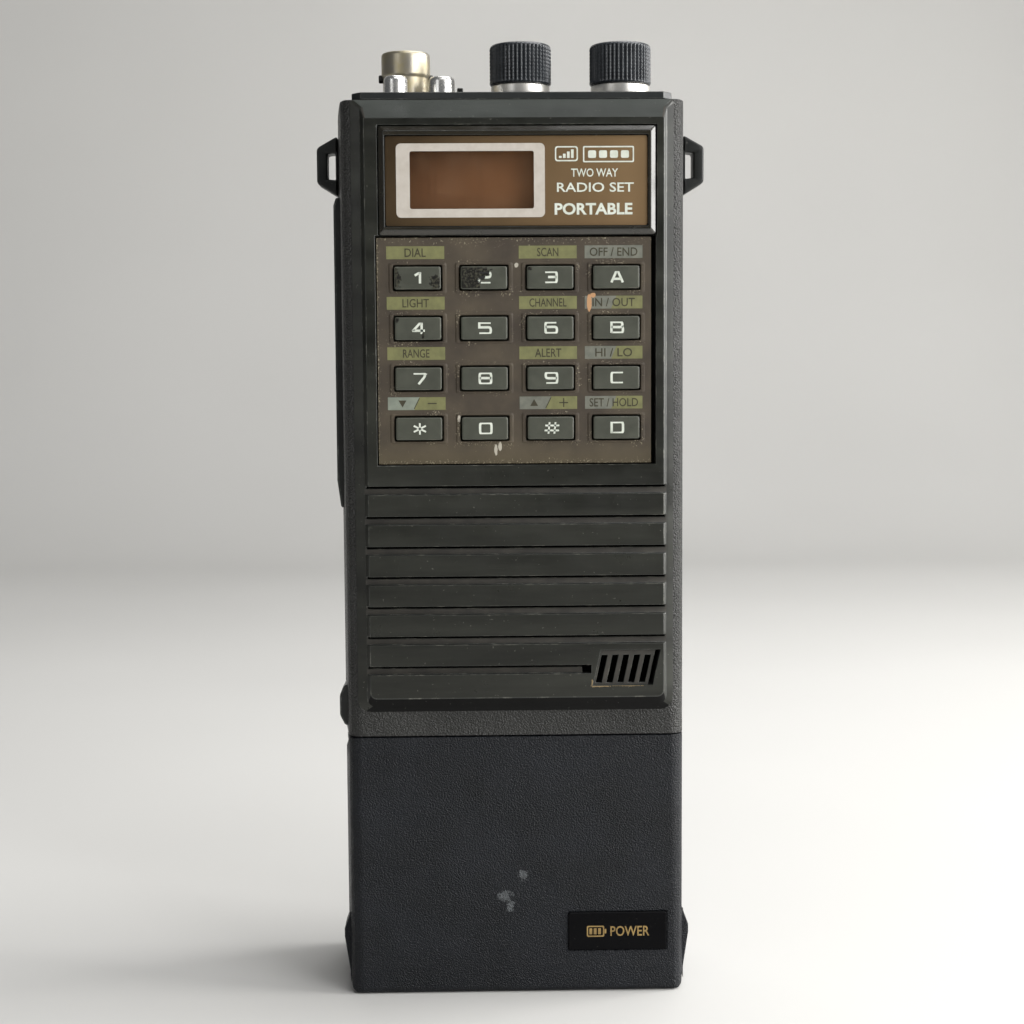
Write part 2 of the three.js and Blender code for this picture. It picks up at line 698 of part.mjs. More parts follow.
function speakerCone() {
  const { x, z, r } = SPEAKER;
  return turnY(x, z, [
    [0, -11.9],
    [3.6, -11.2],
    [5.5, -10.4],
    [r - 2.2, BASKET_FRONT_Y],
    [r - 2.2, BASKET_FRONT_Y + 0.3],
    [5.6, -9.6],
    [3, -9.6],
    [0, -10],
  ]);
}

// Board with its shielding boxes.
function rfBoard() {
  const front = 3;
  const back = 4.6;
  const shields = SHIELDS.map((area) => slab(area, back - 0.1, area.back));
  return join(slab(RF_BOARD, front, back), ...shields);
}

add("chassis_frame", plate, chassis());
add("logic_board", board, slab(LOGIC_BOARD, -10.1, -8.7));
add("rf_board", board, rfBoard());
add("speaker_frame", steel, speakerFrame());
add("speaker_cone", paper, speakerCone());
add("mic_capsule", steel, rodY(MIC.x, MIC.z, MIC.r, MIC.front, MIC.back, 20));
add("ptt_switch", gloss, box(-27.6, -24.7, -2.5, 2.5, 101, 107));

[
  ["contact_positive", CONTACT_POSITIVE_X],
  ["contact_negative", CONTACT_NEGATIVE_X],
].forEach(([name, x]) => {
  const pin = rodZ(x, CONTACT_Y, PIN_R, SEAM_Z, BASE_TOP_Z + 3.5, 12);
  const collar = rodZ(x, CONTACT_Y, PIN_R + 0.7, BASE_TOP_Z + CLEAR, BASE_TOP_Z + 1.3, 12);
  add(name, brass, join(pin, collar));
});

// ---------------------------------------------------------------- top fittings

// Bayonet socket: hollow barrel, two studs for the plug, and a shank through the lid.
function antennaSocket() {
  const { x, y, barrel, mouth, bore, top } = ANTENNA;
  const seat = LID_TOP_Z + 0.2;
  const stud = { z: 178.6, r: 0.95, reach: 5.9 };
  const body = turnZ(x, y, [
    [0, SHANK_BOTTOM_Z],
    [barrel - 0.1, SHANK_BOTTOM_Z],
    [barrel - 0.1, seat],
    [barrel + 1, seat],
    [barrel + 1, seat + 0.8],
    [barrel, seat + 0.8],
    [barrel, 179.3],
    [mouth, 179.7],
    [mouth, top - 0.4],
    [mouth - 0.3, top],
    [bore, top],
    [bore, 175.5],
    [0, 175.5],
  ], 24);
  return join(
    body,
    rodX(y, stud.z, stud.r, x - stud.reach, x - bore - 0.1),
    rodX(y, stud.z, stud.r, x + bore + 0.1, x + stud.reach),
  );
}

// Cup of plastic round the centre contact.
function antennaInsulator() {
  const { x, y } = ANTENNA;
  const profile = [
    [0, 175.8],
    [2.4, 175.8],
    [2.4, 181.6],
    [0.9, 181.6],
    [0.9, 177],
    [0, 177],
  ];
  return turnZ(x, y, profile, 16);
}

function jack({ x, y, r, bore, top }) {
  const profile = [
    [0, SHANK_BOTTOM_Z],
    [JACK_BODY_R, SHANK_BOTTOM_Z],
    [JACK_BODY_R, SHOULDER_Z],
    [r, SHOULDER_Z],
    [r, top - 0.5],
    [r - 0.4, top],
    [bore, top],
    [bore, SHANK_BOTTOM_Z + 1.2],
    [0, SHANK_BOTTOM_Z + 1.2],
  ];
  return turnZ(x, y, profile, 20);
}

const potentiometer = (x) =>
  cut(
    join(rodZ(x, 0, 4.6, 158, 166.6), rodZ(x, 0, 3.9, 166.5, SHOULDER_Z)),
    rodZ(x, 0, SHAFT_R + 0.2, 165, LID_TOP_Z),
  );

function knob(x) {
  const bore = SHAFT_R + 0.15;
  const rim = KNOB_TOP_Z - 0.7;
  return turnZ(x, 0, [
    [0, KNOB_TOP_Z - 1.5],
    [bore, KNOB_TOP_Z - 1.5],
    [bore, KNOB_BOTTOM_Z],
    [KNOB_R - 0.2, KNOB_BOTTOM_Z],
    [KNOB_R, KNOB_BOTTOM_Z + 0.2],
    [KNOB_R, rim],
    [KNOB_R - 0.7, KNOB_TOP_Z],
    [0, KNOB_TOP_Z],
  ], 32);
}

function collar(x) {
  const top = KNOB_BOTTOM_Z - 0.1;
  const bore = SHAFT_R + 0.15;
  return turnZ(x, 0, [
    [bore, COLLAR_BOTTOM_Z],
    [COLLAR_R - 0.3, COLLAR_BOTTOM_Z],
    [COLLAR_R, COLLAR_BOTTOM_Z + 0.6],
    [COLLAR_R, top],
    [bore, top],
    [bore, COLLAR_BOTTOM_Z],
  ]);
}

const shaft = (x) => rodZ(x, 0, SHAFT_R, 165.3, KNOB_TOP_Z - 1.8);

add("antenna_socket", nickel, antennaSocket());
add("antenna_insulator", insulation, antennaInsulator());
add("microphone_jack", steel, jack(MIC_JACK));
add("earphone_jack", steel, jack(EARPHONE_JACK));

[
  ["volume", VOLUME_X],
  ["squelch", SQUELCH_X],
].forEach(([name, x]) => {
  add(name + "_potentiometer", plate, potentiometer(x));
  add(name + "_shaft", steel, shaft(x));
  add(name + "_collar", steel, collar(x));
  add(name + "_knob", knurled, knob(x));
});

// Slide lever that stands up through the lid, on a foot that is wider than the lid's slot.
function levelSwitch() {
  const { x, y, half, top } = LEVEL_SWITCH;
  const foot = { half: 2.6, depth: 1.8, bottom: 169.4, top: 170.6 };
  return join(
    box(x - half, x + half, y - 0.9, y + 0.9, foot.top - 0.2, top),
    box(x - foot.half, x + foot.half, y - foot.depth, y + foot.depth, foot.bottom, foot.top),
  );
}

add("power_level_switch", smooth, levelSwitch());

// ---------------------------------------------------------------- side controls

// Push-to-talk bar, tapered at its lower end, with a flange that keeps it in the case.
function pttButton() {
  const { bottom, top, front, back, outer } = PTT;
  const root = -30.6;
  const outline = [
    new THREE.Vector2(root, bottom),
    new THREE.Vector2(root, top),
    new THREE.Vector2(outer + 0.5, top),
    new THREE.Vector2(outer, top - 1.5),
    new THREE.Vector2(outer, bottom + 5.4),
    new THREE.Vector2(-HALF_MID - 0.1, bottom),
  ];
  return join(
    sweepY(outline, front, back),
    box(root - 0.2, root + 0.8, front - 1.4, back + 1.4, bottom - 1.3, top + 0.6),
  );
}

// Battery release, with a domed pad outside and a latch tongue inside.
function releaseButton() {
  const { bottom, top, front, back, outer } = RELEASE;
  const root = -FLANK_X;
  const outline = [
    new THREE.Vector2(root, bottom),
    new THREE.Vector2(root, top),
    new THREE.Vector2(outer + 1, top),
    new THREE.Vector2(outer, top - 2),
    new THREE.Vector2(outer, bottom + 2),
    new THREE.Vector2(outer + 1, bottom),
  ];
  return join(
    sweepY(outline, front, back),
    box(root - 0.3, root + 0.8, front - 0.9, back + 0.9, BASE_TOP_Z + 0.4, top + 1.2),
  );
}

add("ptt_button", smooth, pttButton());
add("battery_release_button", smooth, releaseButton());

// ---------------------------------------------------------------- battery pack

const railSlot = (x0, x1) =>
  join(
    box(x0, x1, -RAIL_NECK - RAIL_GAP, RAIL_NECK + RAIL_GAP, RAIL_NECK_Z - RAIL_GAP, SEAM_Z + 1),
    box(
      x0,
      x1,
      -RAIL_HEAD - RAIL_GAP,
      RAIL_HEAD + RAIL_GAP,
      RAIL_HEAD_Z - RAIL_GAP,
      RAIL_NECK_Z + RAIL_GAP,
    ),
  );

function batteryCase() {
  const frontView = { left: -HALF_MID - 1, right: HALF_MID + 1, bottom: 0, top: BATTERY_TOP_Z };
  const tapered = [
    ...arc(HALF_MID - BATTERY_CORNER, BATTERY_CORNER, BATTERY_CORNER, -90, 0),
    new THREE.Vector2(HALF_MID, frontView.top),
    new THREE.Vector2(-HALF_MID, frontView.top),
    ...arc(-HALF_MID + BATTERY_CORNER, BATTERY_CORNER, BATTERY_CORNER, 180, 270),
  ];
  const sideView = [
    ...arc(REAR_Y - 1.4, 1.4, 1.4, -90, 0, 3),
    new THREE.Vector2(REAR_Y, frontView.top),
    new THREE.Vector2(SKIN_Y, frontView.top),
    ...arc(SKIN_Y + 1.4, 1.4, 1.4, 180, 270, 3),
  ];
  const outer = riseZ(plan(0), 0, BATTERY_TOP_Z)
    .intersect(sweepY(tapered, beyond.y0, beyond.y1))
    .intersect(sweepX(sideView, frontView.left, frontView.right));
  const grips = [-1, 1].map((side) => {
    const point = (x, z) => new THREE.Vector2(side * x, z);
    const outline = [
      point(31, 2.6),
      point(32.6, 2.6),
      point(33.8, 10.6),
      point(33.8, 12.2),
      point(32.6, 15.5),
      point(31, 15.5),
    ];
    return sweepY(side > 0 ? outline : outline.reverse(), -12, -5);
  });
  return cut(
    join(outer, ...grips),
    riseZ(plan(WALL), WALL, SEAM_Z + 1),
    railSlot(-OUT_X, -25),
    slab(grown(LABEL, 0.1), beyond.y0, SKIN_Y + 0.35),
  );
}

function batteryCover() {
  const tabHole = (x) =>
    box(x - 1.8, x + 1.8, CONTACT_Y - 0.6, CONTACT_Y + 0.6, COVER_BOTTOM_Z - 1, COVER_TOP_Z + 1);
  return cut(
    riseZ(plan(WALL + 0.2), COVER_BOTTOM_Z, COVER_TOP_Z),
    railSlot(-OUT_X, RAIL_RIGHT + 0.6),
    tabHole(CONTACT_POSITIVE_X),
    tabHole(CONTACT_NEGATIVE_X),
  );
}

// Cells standing side by side, joined by nickel straps, with a tab up to the contact.
function cellRow(y, count, contactX) {
  const xs = Array.from({ length: count }, (_, i) => -1.5 * CELL_PITCH + CELL_PITCH * i);
  const cells = xs.map((x) => rodZ(x, y, CELL_R, CELL_BOTTOM_Z, CELL_TOP_Z, 20));
  const lastX = xs[xs.length - 1];
  const left = contactX - TAB_HALF;
  const right = contactX + TAB_HALF;
  const reach = Math.max(lastX, right);
  const low = CELL_TOP_Z - 0.2;
  const high = CELL_TOP_Z + 0.4;
  return join(
    ...cells,
    box(xs[0], lastX, y - 2, y + 2, low, high),
    box(left, reach, y - 2, y + 2, low, high),
    box(left, right, y, CONTACT_Y + TAB_THICK / 2, low, high),
    box(left, right, CONTACT_Y - TAB_THICK / 2, CONTACT_Y + TAB_THICK / 2, low, COVER_TOP_Z + 0.2),
  );
}

add("battery_case", batterySkin, batteryCase());
add("battery_cover", batterySkin, batteryCover());
add("cell_row_front", wrap, cellRow(CELL_FRONT_Y, 4, CONTACT_POSITIVE_X));
add("cell_row_rear", wrap, cellRow(CELL_REAR_Y, 3, CONTACT_NEGATIVE_X));
add("battery_label", gloss, slab(LABEL, SKIN_Y - 0.2, SKIN_Y + 0.2));

export default radio;
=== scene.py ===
"""Looks of a handheld two-way radio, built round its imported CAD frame.

Sizes are in millimetres, turned into metres by MM where they reach Blender. X is right, Y is back, Z is up.
"""

import math

import bmesh
import bpy
from mathutils import Matrix, Vector


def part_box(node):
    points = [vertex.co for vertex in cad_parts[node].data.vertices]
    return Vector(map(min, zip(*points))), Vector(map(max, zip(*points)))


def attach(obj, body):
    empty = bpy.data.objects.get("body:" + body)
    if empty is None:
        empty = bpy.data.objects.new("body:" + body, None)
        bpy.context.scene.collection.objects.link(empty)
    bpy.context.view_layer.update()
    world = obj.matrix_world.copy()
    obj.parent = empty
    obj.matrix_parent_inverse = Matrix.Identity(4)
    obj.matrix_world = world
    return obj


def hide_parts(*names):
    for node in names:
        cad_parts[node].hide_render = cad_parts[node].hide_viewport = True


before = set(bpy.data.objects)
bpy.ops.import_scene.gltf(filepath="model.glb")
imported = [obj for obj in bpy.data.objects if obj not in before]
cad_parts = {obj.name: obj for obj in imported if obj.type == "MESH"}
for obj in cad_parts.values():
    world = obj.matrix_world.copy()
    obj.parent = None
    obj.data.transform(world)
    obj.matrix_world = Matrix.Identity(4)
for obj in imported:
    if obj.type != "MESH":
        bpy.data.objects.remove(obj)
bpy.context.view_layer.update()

MM = 0.001
HOUSING = "housing"


# ---------------------------------------------------------------- places, from the frame


def box_mm(node):
    """A CAD node's lowest and highest corners, in millimetres."""
    low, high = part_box(node)
    return low / MM, high / MM


def centre_mm(node):
    """The middle of a CAD node's box, in millimetres."""
    low, high = box_mm(node)
    return (low + high) / 2


def upright_mm(node):
    """The lowest and highest corners of a turned node, and the x and y of its axis."""
    low, high = box_mm(node)
    return low, high, (low.x + high.x) / 2, (low.y + high.y) / 2


window_low, window_high = box_mm("display_window")
plate_low, plate_high = box_mm("keypad_plate")
lid_low, lid_high = box_mm("top_panel")
SKIN_Y = box_mm("battery_case")[0].y
PANEL_Y = box_mm("front_case")[0].y
GROOVE_DEPTH = 0.9
PLATE_Y = plate_low.y

# The keys, row by row, and the size of one.
KEY_ROWS = ("123A", "456B", "789C", "*0#D")
KEY_WORDS = {"*": "star", "#": "hash"}
KEY_SIZE = (8.7, 4.25)


def key_node(mark):
    """The name of a key's CAD node, which is its body's name too."""
    return "key_" + KEY_WORDS.get(mark, mark.lower())


key_first = centre_mm("key_1")
KEY_PITCH_X = centre_mm("key_2").x - key_first.x
KEY_PITCH_Z = key_first.z - centre_mm("key_4").z


# ---------------------------------------------------------------- camera, stage and light

CAMERA_MM = Vector((-8.21, -357.5, 124.4))
CAMERA_YAW = 0.0225
CAMERA_PITCH = -0.0877
CAMERA_ROLL = -0.0064
CAMERA_LENS = 63.3


def make_camera():
    """The camera of the front view, from its place and its turn about each axis, in radians."""
    ahead = Vector(
        (
            math.sin(CAMERA_YAW) * math.cos(CAMERA_PITCH),
            math.cos(CAMERA_YAW) * math.cos(CAMERA_PITCH),
            math.sin(CAMERA_PITCH),
        )
    )
    level = ahead.cross(Vector((0, 0, 1))).normalized()
    above = level.cross(ahead)
    right = level * math.cos(CAMERA_ROLL) + above * math.sin(CAMERA_ROLL)
    up = above * math.cos(CAMERA_ROLL) - level * math.sin(CAMERA_ROLL)
    data = bpy.data.cameras.new("camera")
    data.lens = CAMERA_LENS
    data.clip_start = 0.01
    camera = bpy.data.objects.new("camera", data)
    turn = Matrix((right, up, -ahead)).transposed().to_4x4()
    camera.matrix_world = Matrix.Translation(CAMERA_MM * MM) @ turn
    bpy.context.scene.collection.objects.link(camera)
    bpy.context.scene.camera = camera


def area_light(name, place, target, size, power, colour=(1, 1, 1)):
    """A rectangular light at a place, aimed at a target. Lengths are in metres, power in watts."""
    data = bpy.data.lights.new(name, "AREA")
    data.shape = "RECTANGLE"
    data.size, data.size_y = size
    data.energy = power
    data.color = colour
    light = bpy.data.objects.new(name, data)
    light.location = place
    light.rotation_euler = (Vector(target) - Vector(place)).to_track_quat("-Z", "Y").to_euler()
    bpy.context.scene.collection.objects.link(light)


def make_lights():
    """A window on the right, four weak fills and a faint sky."""
    middle = (0, 0, 0.1)
    area_light("window_light", (0.8, 0.02, 0.28), middle, (0.6, 0.8), 14, (1, 0.99, 0.97))
    area_light("side_fill", (0.45, -0.42, 0.3), middle, (0.35, 0.4), 2.1)
    area_light("left_fill", (-0.75, -0.95, 0.4), middle, (0.45, 0.6), 1.1)
    area_light("front_fill", (0.25, -0.8, 1.1), middle, (0.9, 0.6), 4)
    area_light("top_light", (0.2, 0.15, 0.8), middle, (0.7, 0.5), 4)
    world = bpy.data.worlds.new("studio")
    world.use_nodes = True
    background = world.node_tree.nodes["Background"]
    background.inputs["Color"].default_value = (0.95, 0.97, 1, 1)
    background.inputs["Strength"].default_value = 0.09
    bpy.context.scene.world = world
    bpy.context.scene.view_settings.view_transform = "Standard"


# ---------------------------------------------------------------- shader helpers


def linear(red, green, blue):
    """An sRGB colour from 0 to 255 as the linear RGBA that a shader socket takes."""

    def channel(value):
        value /= 255
        return value / 12.92 if value <= 0.04045 else ((value + 0.055) / 1.055) ** 2.4

    return (channel(red), channel(green), channel(blue), 1)


class Shader:
    """A material whose nodes are made one call each.

    A value for a socket is another socket to link, a number, or for a colour its sRGB values up to 255.
    """

    def __init__(self, name, **values):
        self.material = bpy.data.materials.new(name)
        self.material.use_nodes = True
        self.tree = self.material.node_tree
        self.bsdf = self.tree.nodes["Principled BSDF"]
        self.place = self.node("TexCoord").outputs["Object"]
        self.set(**values)

    def node(self, kind, inputs=None, **settings):
        made = self.tree.nodes.new("ShaderNode" + kind)
        for key, value in settings.items():
            setattr(made, key, value)
        for key, value in (inputs or {}).items():
            self.feed(made.inputs[key], value)
        return made

    def feed(self, socket, value):
        if isinstance(value, bpy.types.NodeSocket):
            self.tree.links.new(value, socket)
        elif socket.type == "RGBA":
            socket.default_value = linear(*value)
        else:
            socket.default_value = value

    def set(self, **values):
        for key, value in values.items():
            self.feed(self.bsdf.inputs[key.replace("_", " ")], value)

    def stretched(self, scale):
        """The place coordinates times a scale for each axis."""
        made = self.node("Mapping", {"Vector": self.place, "Scale": scale})
        return made.outputs["Vector"]

    def noise(self, size_mm, detail=3, roughness=0.55, vector=None):
        inputs = {
            "Vector": vector or self.place,
            "Scale": 1 / (size_mm * MM),
            "Detail": detail,
            "Roughness": roughness,
        }
        return self.node("TexNoise", inputs).outputs["Fac"]

    def cells(self, size_mm):
        inputs = {"Vector": self.place, "Scale": 1 / (size_mm * MM)}
        return self.node("TexVoronoi", inputs, feature="SMOOTH_F1").outputs["Distance"]

    def ramp(self, value, low, high, start=0.0, end=1.0):
        """Value from low to high as start to end, clamped."""
        inputs = {"Value": value, "From Min": low, "From Max": high, "To Min": start, "To Max": end}
        return self.node("MapRange", inputs).outputs["Result"]

    def math(self, operation, a, b=0.0):
        made = self.node("Math", operation=operation)
        self.feed(made.inputs[0], a)
        self.feed(made.inputs[1], b)
        return made.outputs["Value"]

    def mix(self, share, a, b):
        """Colours a and b mixed by a share from 0 to 1."""
        made = self.node("Mix", data_type="RGBA")
        self.feed(made.inputs["Factor"], share)
        self.feed(made.inputs[6], a)
        self.feed(made.inputs[7], b)
        return made.outputs[2]

    def axis(self, name):
        return self.node("SeparateXYZ", {"Vector": self.place}).outputs[name]

    def blotches(self, spots, ragged=0.8, size_mm=0.45):
        """Share from 0 to 1 that is high inside ragged spots: (x, z, half width, half height)."""
        uneven = self.math("SUBTRACT", self.noise(size_mm, detail=4, roughness=0.7), 0.5)
        rough = self.math("MULTIPLY", uneven, ragged)
        total = 0.0
        for x, z, wide, high in spots:
            scale = Vector((1 / wide, 0, 1 / high)) / MM
            shift = Vector((-x / wide, 0, -z / high))
            inputs = {"Vector": self.place, "Location": shift, "Scale": scale}
            local = self.node("Mapping", inputs).outputs["Vector"]
            away = self.node("VectorMath", {0: local}, operation="LENGTH").outputs["Value"]
            inside = self.ramp(self.math("ADD", away, rough), 1.05, 0.95)
            total = self.math("MAXIMUM", total, inside)
        return total

    def bump(self, height, depth_mm, strength=1.0):
        inputs = {"Height": height, "Distance": depth_mm * MM, "Strength": strength}
        return self.node("Bump", inputs).outputs["Normal"]


# ---------------------------------------------------------------- materials


def grained(name, dark, light, grain_mm, depth_mm, roughness, specular, scuffs=()):
    """Moulded plastic with a leather grain: pebbles of two sizes, worn lighter on their tops."""
    s = Shader(name, Specular_IOR_Level=specular)
    pebbles = s.cells(grain_mm)
    fine = s.noise(grain_mm * 0.5, detail=3, roughness=0.7)
    height = s.math("ADD", s.ramp(pebbles, 0.0, 0.75, 1, 0), s.math("MULTIPLY", fine, 0.7))
    patches = s.noise(14, detail=3)
    colour = s.mix(s.ramp(patches, 0.35, 0.68), dark, light)
    tops = s.ramp(height, 1.15, 1.45, 0, 0.35)
    colour = s.mix(tops, colour, (90, 92, 92))
    if scuffs:
        specks = s.blotches(scuffs, ragged=4.2, size_mm=0.5)
        front_only = s.ramp(s.axis("Y"), 0.0, SKIN_Y * MM, 0, 0.5)
        colour = s.mix(s.math("MULTIPLY", specks, front_only), colour, (118, 122, 124))
    rough = s.ramp(s.noise(3, detail=4), 0.3, 0.7, roughness - 0.07, roughness + 0.08)
    s.set(Base_Color=colour, Roughness=rough, Normal=s.bump(height, depth_mm))
    return s.material


def smooth_plastic(name, dark, light, roughness, scratch=0.012, dust=0.25, chips=(), specular=0.4):
    """Smooth moulded plastic whose colour drifts lighter in long streaks, a painted sheen, with long fine
    scratches and some dust.
    """
    s = Shader(name, Specular_IOR_Level=specular)
    # The lighter streaks mixed into the colour are a painted sheen.
    streaks = s.noise(9, detail=5, roughness=0.6, vector=s.stretched((0.18, 1, 1.4)))
    colour = s.mix(s.ramp(streaks, 0.34, 0.7), dark, light)
    specks = s.ramp(s.noise(0.55, detail=2, roughness=0.4), 0.73, 0.78, 0, dust)
    colour = s.mix(specks, colour, (150, 148, 138))
    if chips:
        colour = s.mix(s.blotches(chips, ragged=2.5, size_mm=0.5), colour, (138, 120, 88))
    lines = s.noise(0.35, detail=3, vector=s.stretched((0.05, 1, 1)))
    cross = s.noise(0.4, detail=3, vector=s.stretched((1, 1, 0.06)))
    marks = s.math("ADD", s.ramp(lines, 0.62, 0.72), s.ramp(cross, 0.64, 0.74))
    grain = s.math("ADD", marks, s.noise(0.25, detail=2))
    rough = s.ramp(s.noise(6, detail=5, roughness=0.65), 0.3, 0.72, roughness - 0.1, roughness + 0.12)
    s.set(Base_Color=colour, Roughness=rough, Normal=s.bump(grain, scratch, 0.6))
    return s.material


def worn_edge(name, base, worn, start=0.52):
    """Edges that handling has polished, bare and pale in places."""
    s = Shader(name)
    rub = s.ramp(s.noise(2.2, detail=5, roughness=0.7), start, start + 0.14)
    s.set(Base_Color=s.mix(rub, base, worn), Roughness=s.ramp(rub, 0, 1, 0.28, 0.36))
    return s.material


def key_paint(name, peeled=False):
    """Satin paint of the keys. On some keys it has peeled down to rough black rubber."""
    s = Shader(name, Specular_IOR_Level=0.4, Roughness=0.5)
    colour = s.mix(s.ramp(s.noise(3.5, detail=4), 0.34, 0.7), (66, 68, 59), (78, 80, 70))
    grain = s.noise(0.18, detail=3)
    if peeled:
        bare = s.blotches(PEELED, ragged=3.0, size_mm=0.9)
        crumbs = s.ramp(s.noise(0.42, detail=4, roughness=0.7), 0.46, 0.62)
        under = s.mix(crumbs, (18, 17, 14), (72, 71, 58))
        colour = s.mix(bare, colour, under)
        s.set(Roughness=s.ramp(bare, 0, 1, 0.5, 0.9))
        grain = s.math("ADD", grain, s.math("MULTIPLY", bare, s.math("SUBTRACT", crumbs, 2.0)))
    s.set(Base_Color=colour, Normal=s.bump(grain, 0.03, 0.7))
    return s.material


def key_grid_distance(s):
    """Distance in millimetres from the nearest key's edge, positive outside the key."""
    gaps = []
    across = ("X", key_first.x, KEY_PITCH_X, KEY_SIZE[0])
    upward = ("Z", key_first.z, KEY_PITCH_Z, KEY_SIZE[1])
    for axis, start, pitch, size in (across, upward):
        shifted = s.math("SUBTRACT", s.axis(axis), (start - pitch / 2) * MM)
        cell = s.math("FLOORED_MODULO", s.math("DIVIDE", shifted, pitch * MM), 1.0)
        off = s.math("MULTIPLY", s.math("ABSOLUTE", s.math("SUBTRACT", cell, 0.5)), pitch)
        gaps.append(s.math("SUBTRACT", off, size / 2))
    return s.math("MAXIMUM", *gaps)


def keypad_paint():
    """Brown paint on metal, chipped pale round the keys and along the plate's edges; the pale line at the
    left edge is partly worn paint and partly a painted highlight.
    """
    s = Shader("keypad_paint", Specular_IOR_Level=0.4)
    patches = s.noise(7, detail=4)
    colour = s.mix(s.ramp(patches, 0.35, 0.7), (66, 58, 49), (86, 77, 63))
    from_left = s.math("SUBTRACT", s.axis("X"), plate_low.x * MM)
    from_bottom = s.math("SUBTRACT", s.axis("Z"), plate_low.z * MM)
    from_top = s.math("SUBTRACT", plate_high.z * MM, s.axis("Z"))
    near_key = s.ramp(key_grid_distance(s), 2.0, 0.9)
    left = s.ramp(from_left, 0.9 * MM, 0.1 * MM)
    bottom = s.ramp(from_bottom, 1.4 * MM, 0.2 * MM)
    top = s.ramp(from_top, 2.2 * MM, 0.4 * MM, 0, 0.7)
    edges = s.math("MAXIMUM", left, s.math("MAXIMUM", bottom, top))
    local = s.ramp(s.noise(4.5, detail=3), 0.42, 0.6, 0, 0.85)
    worn = s.math("MAXIMUM", edges, s.math("MULTIPLY", near_key, local))
    chips = s.noise(0.34, detail=4, roughness=0.75)
    threshold = s.math("SUBTRACT", 0.7, s.math("MULTIPLY", worn, 0.145))
    chipped = s.ramp(s.math("SUBTRACT", chips, threshold), 0.0, 0.03)
    # A thin pale line along the left edge, partly worn paint and partly a painted highlight of the lit left
    # wall.
    left_line_wear_and_highlight = s.ramp(from_left, 0.22 * MM, 0.12 * MM, 0, 0.6)
    chipped = s.math("MAXIMUM", chipped, s.math("MULTIPLY", left_line_wear_and_highlight, s.ramp(chips, 0.4, 0.55)))
    colour = s.mix(s.math("MULTIPLY", chipped, 0.8), colour, (194, 184, 156))
    dirt = s.ramp(from_bottom, 5 * MM, 0.5 * MM, 0, 0.4)
    colour = s.mix(dirt, colour, (98, 88, 62))
    smear = s.blotches(SMEARS, ragged=1.0, size_mm=0.5)
    colour = s.mix(s.math("MULTIPLY", smear, 0.75), colour, (208, 202, 186))
    colour = s.mix(s.blotches(BARE_CHIPS), colour, (196, 150, 108))
    grain = s.noise(0.16, detail=3, roughness=0.7)
    height = s.math("SUBTRACT", grain, chipped)
    s.set(Base_Color=colour, Roughness=0.58, Normal=s.bump(height, 0.02))
    return s.material


def printed(name, colour, shade, roughness=0.55, wear=0.2):
    """Screen-printed ink with an uneven film and small losses."""
    s = Shader(name)
    film = s.ramp(s.noise(1.6, detail=4), 0.35, 0.7)
    base = s.mix(film, colour, shade)
    lost = s.ramp(s.noise(0.3, detail=4, roughness=0.75), 0.7, 0.76, 0, wear)
    base = s.mix(lost, base, (70, 64, 52))
    base = s.mix(s.blotches(PEELED, ragged=3.0, size_mm=0.9), base, (18, 17, 15))
    s.set(Base_Color=s.mix(s.blotches(BARE_CHIPS), base, (196, 150, 108)), Roughness=roughness)
    s.set(Normal=s.bump(s.noise(0.12, detail=2), 0.008))
    return s.material


def smoked_window():
    """Glossy smoked plate, printed brown from behind, lighter towards its right end."""
    s = Shader("smoked_window", Roughness=0.16, Coat_Weight=0.3, Coat_Roughness=0.07, Specular_IOR_Level=0.3)
    across = s.ramp(s.axis("X"), window_low.x * MM, window_high.x * MM)
    cloud = s.math("MULTIPLY", s.noise(11, detail=3), 0.35)
    share = s.math("MULTIPLY", s.math("ADD", across, cloud), 0.72)
    base = s.mix(share, (38, 30, 19), (140, 115, 84))
    specks = s.ramp(s.noise(0.4, detail=3, roughness=0.6), 0.72, 0.78, 0, 0.4)
    s.set(Base_Color=s.mix(specks, base, (150, 140, 120)))
    smears = s.noise(3.4, detail=4, vector=s.stretched((1, 1, 0.25)))
    s.set(Normal=s.bump(smears, 0.01, 0.4))
    return s.material


def lcd_glass():
    """Reflective display behind a copper-brown polariser, with faint upright streaks, a painted sheen that
    lightens it towards the right and painted shade that darkens it towards the top.
    """
    s = Shader("lcd_glass", Roughness=0.28, Coat_Weight=0.4, Coat_Roughness=0.1)
    streaks = s.noise(1.1, detail=4, vector=s.stretched((1, 1, 0.07)))
    low, high = box_mm("lcd_panel")
    up = s.ramp(s.axis("Z"), low.z * MM, high.z * MM)
    across = s.ramp(s.axis("X"), low.x * MM, high.x * MM)
    # Painted sheen towards the right and painted shade towards the top.
    painted_sheen_and_shade = s.math("ADD", s.ramp(across, 0, 1, 0.05, 0.75), s.ramp(up, 0, 1, 0.3, 0))
    share = s.math("ADD", s.ramp(streaks, 0.35, 0.7, 0, 0.1), painted_sheen_and_shade)
    s.set(Base_Color=s.mix(share, (70, 38, 18), (176, 124, 84)))
    return s.material


def clear_pane():
    """Thin clear cover over the display, slightly brown."""
    s = Shader("clear_pane", Roughness=0.06, Alpha=0.16)
    smear = s.ramp(s.noise(5, detail=4), 0.4, 0.7)
    s.set(Base_Color=s.mix(smear, (90, 66, 46), (120, 96, 74)))
    return s.material


def metal(name, colour, shade, roughness, spot_mm=2.5, turned=False, metallic=1.0):
    """Bare or plated metal with tarnish, and fine turning marks where it was made on a lathe."""
    s = Shader(name, Metallic=metallic)
    tarnish = s.ramp(s.noise(spot_mm, detail=5, roughness=0.65), 0.38, 0.68)
    s.set(Base_Color=s.mix(tarnish, colour, shade))
    s.set(Roughness=s.ramp(tarnish, 0, 1, roughness, roughness + 0.16))
    marks = s.noise(0.12, detail=2, vector=s.stretched((0.15, 0.15, 1) if turned else (1, 1, 1)))
    s.set(Normal=s.bump(marks, 0.006, 0.6))
    return s.material


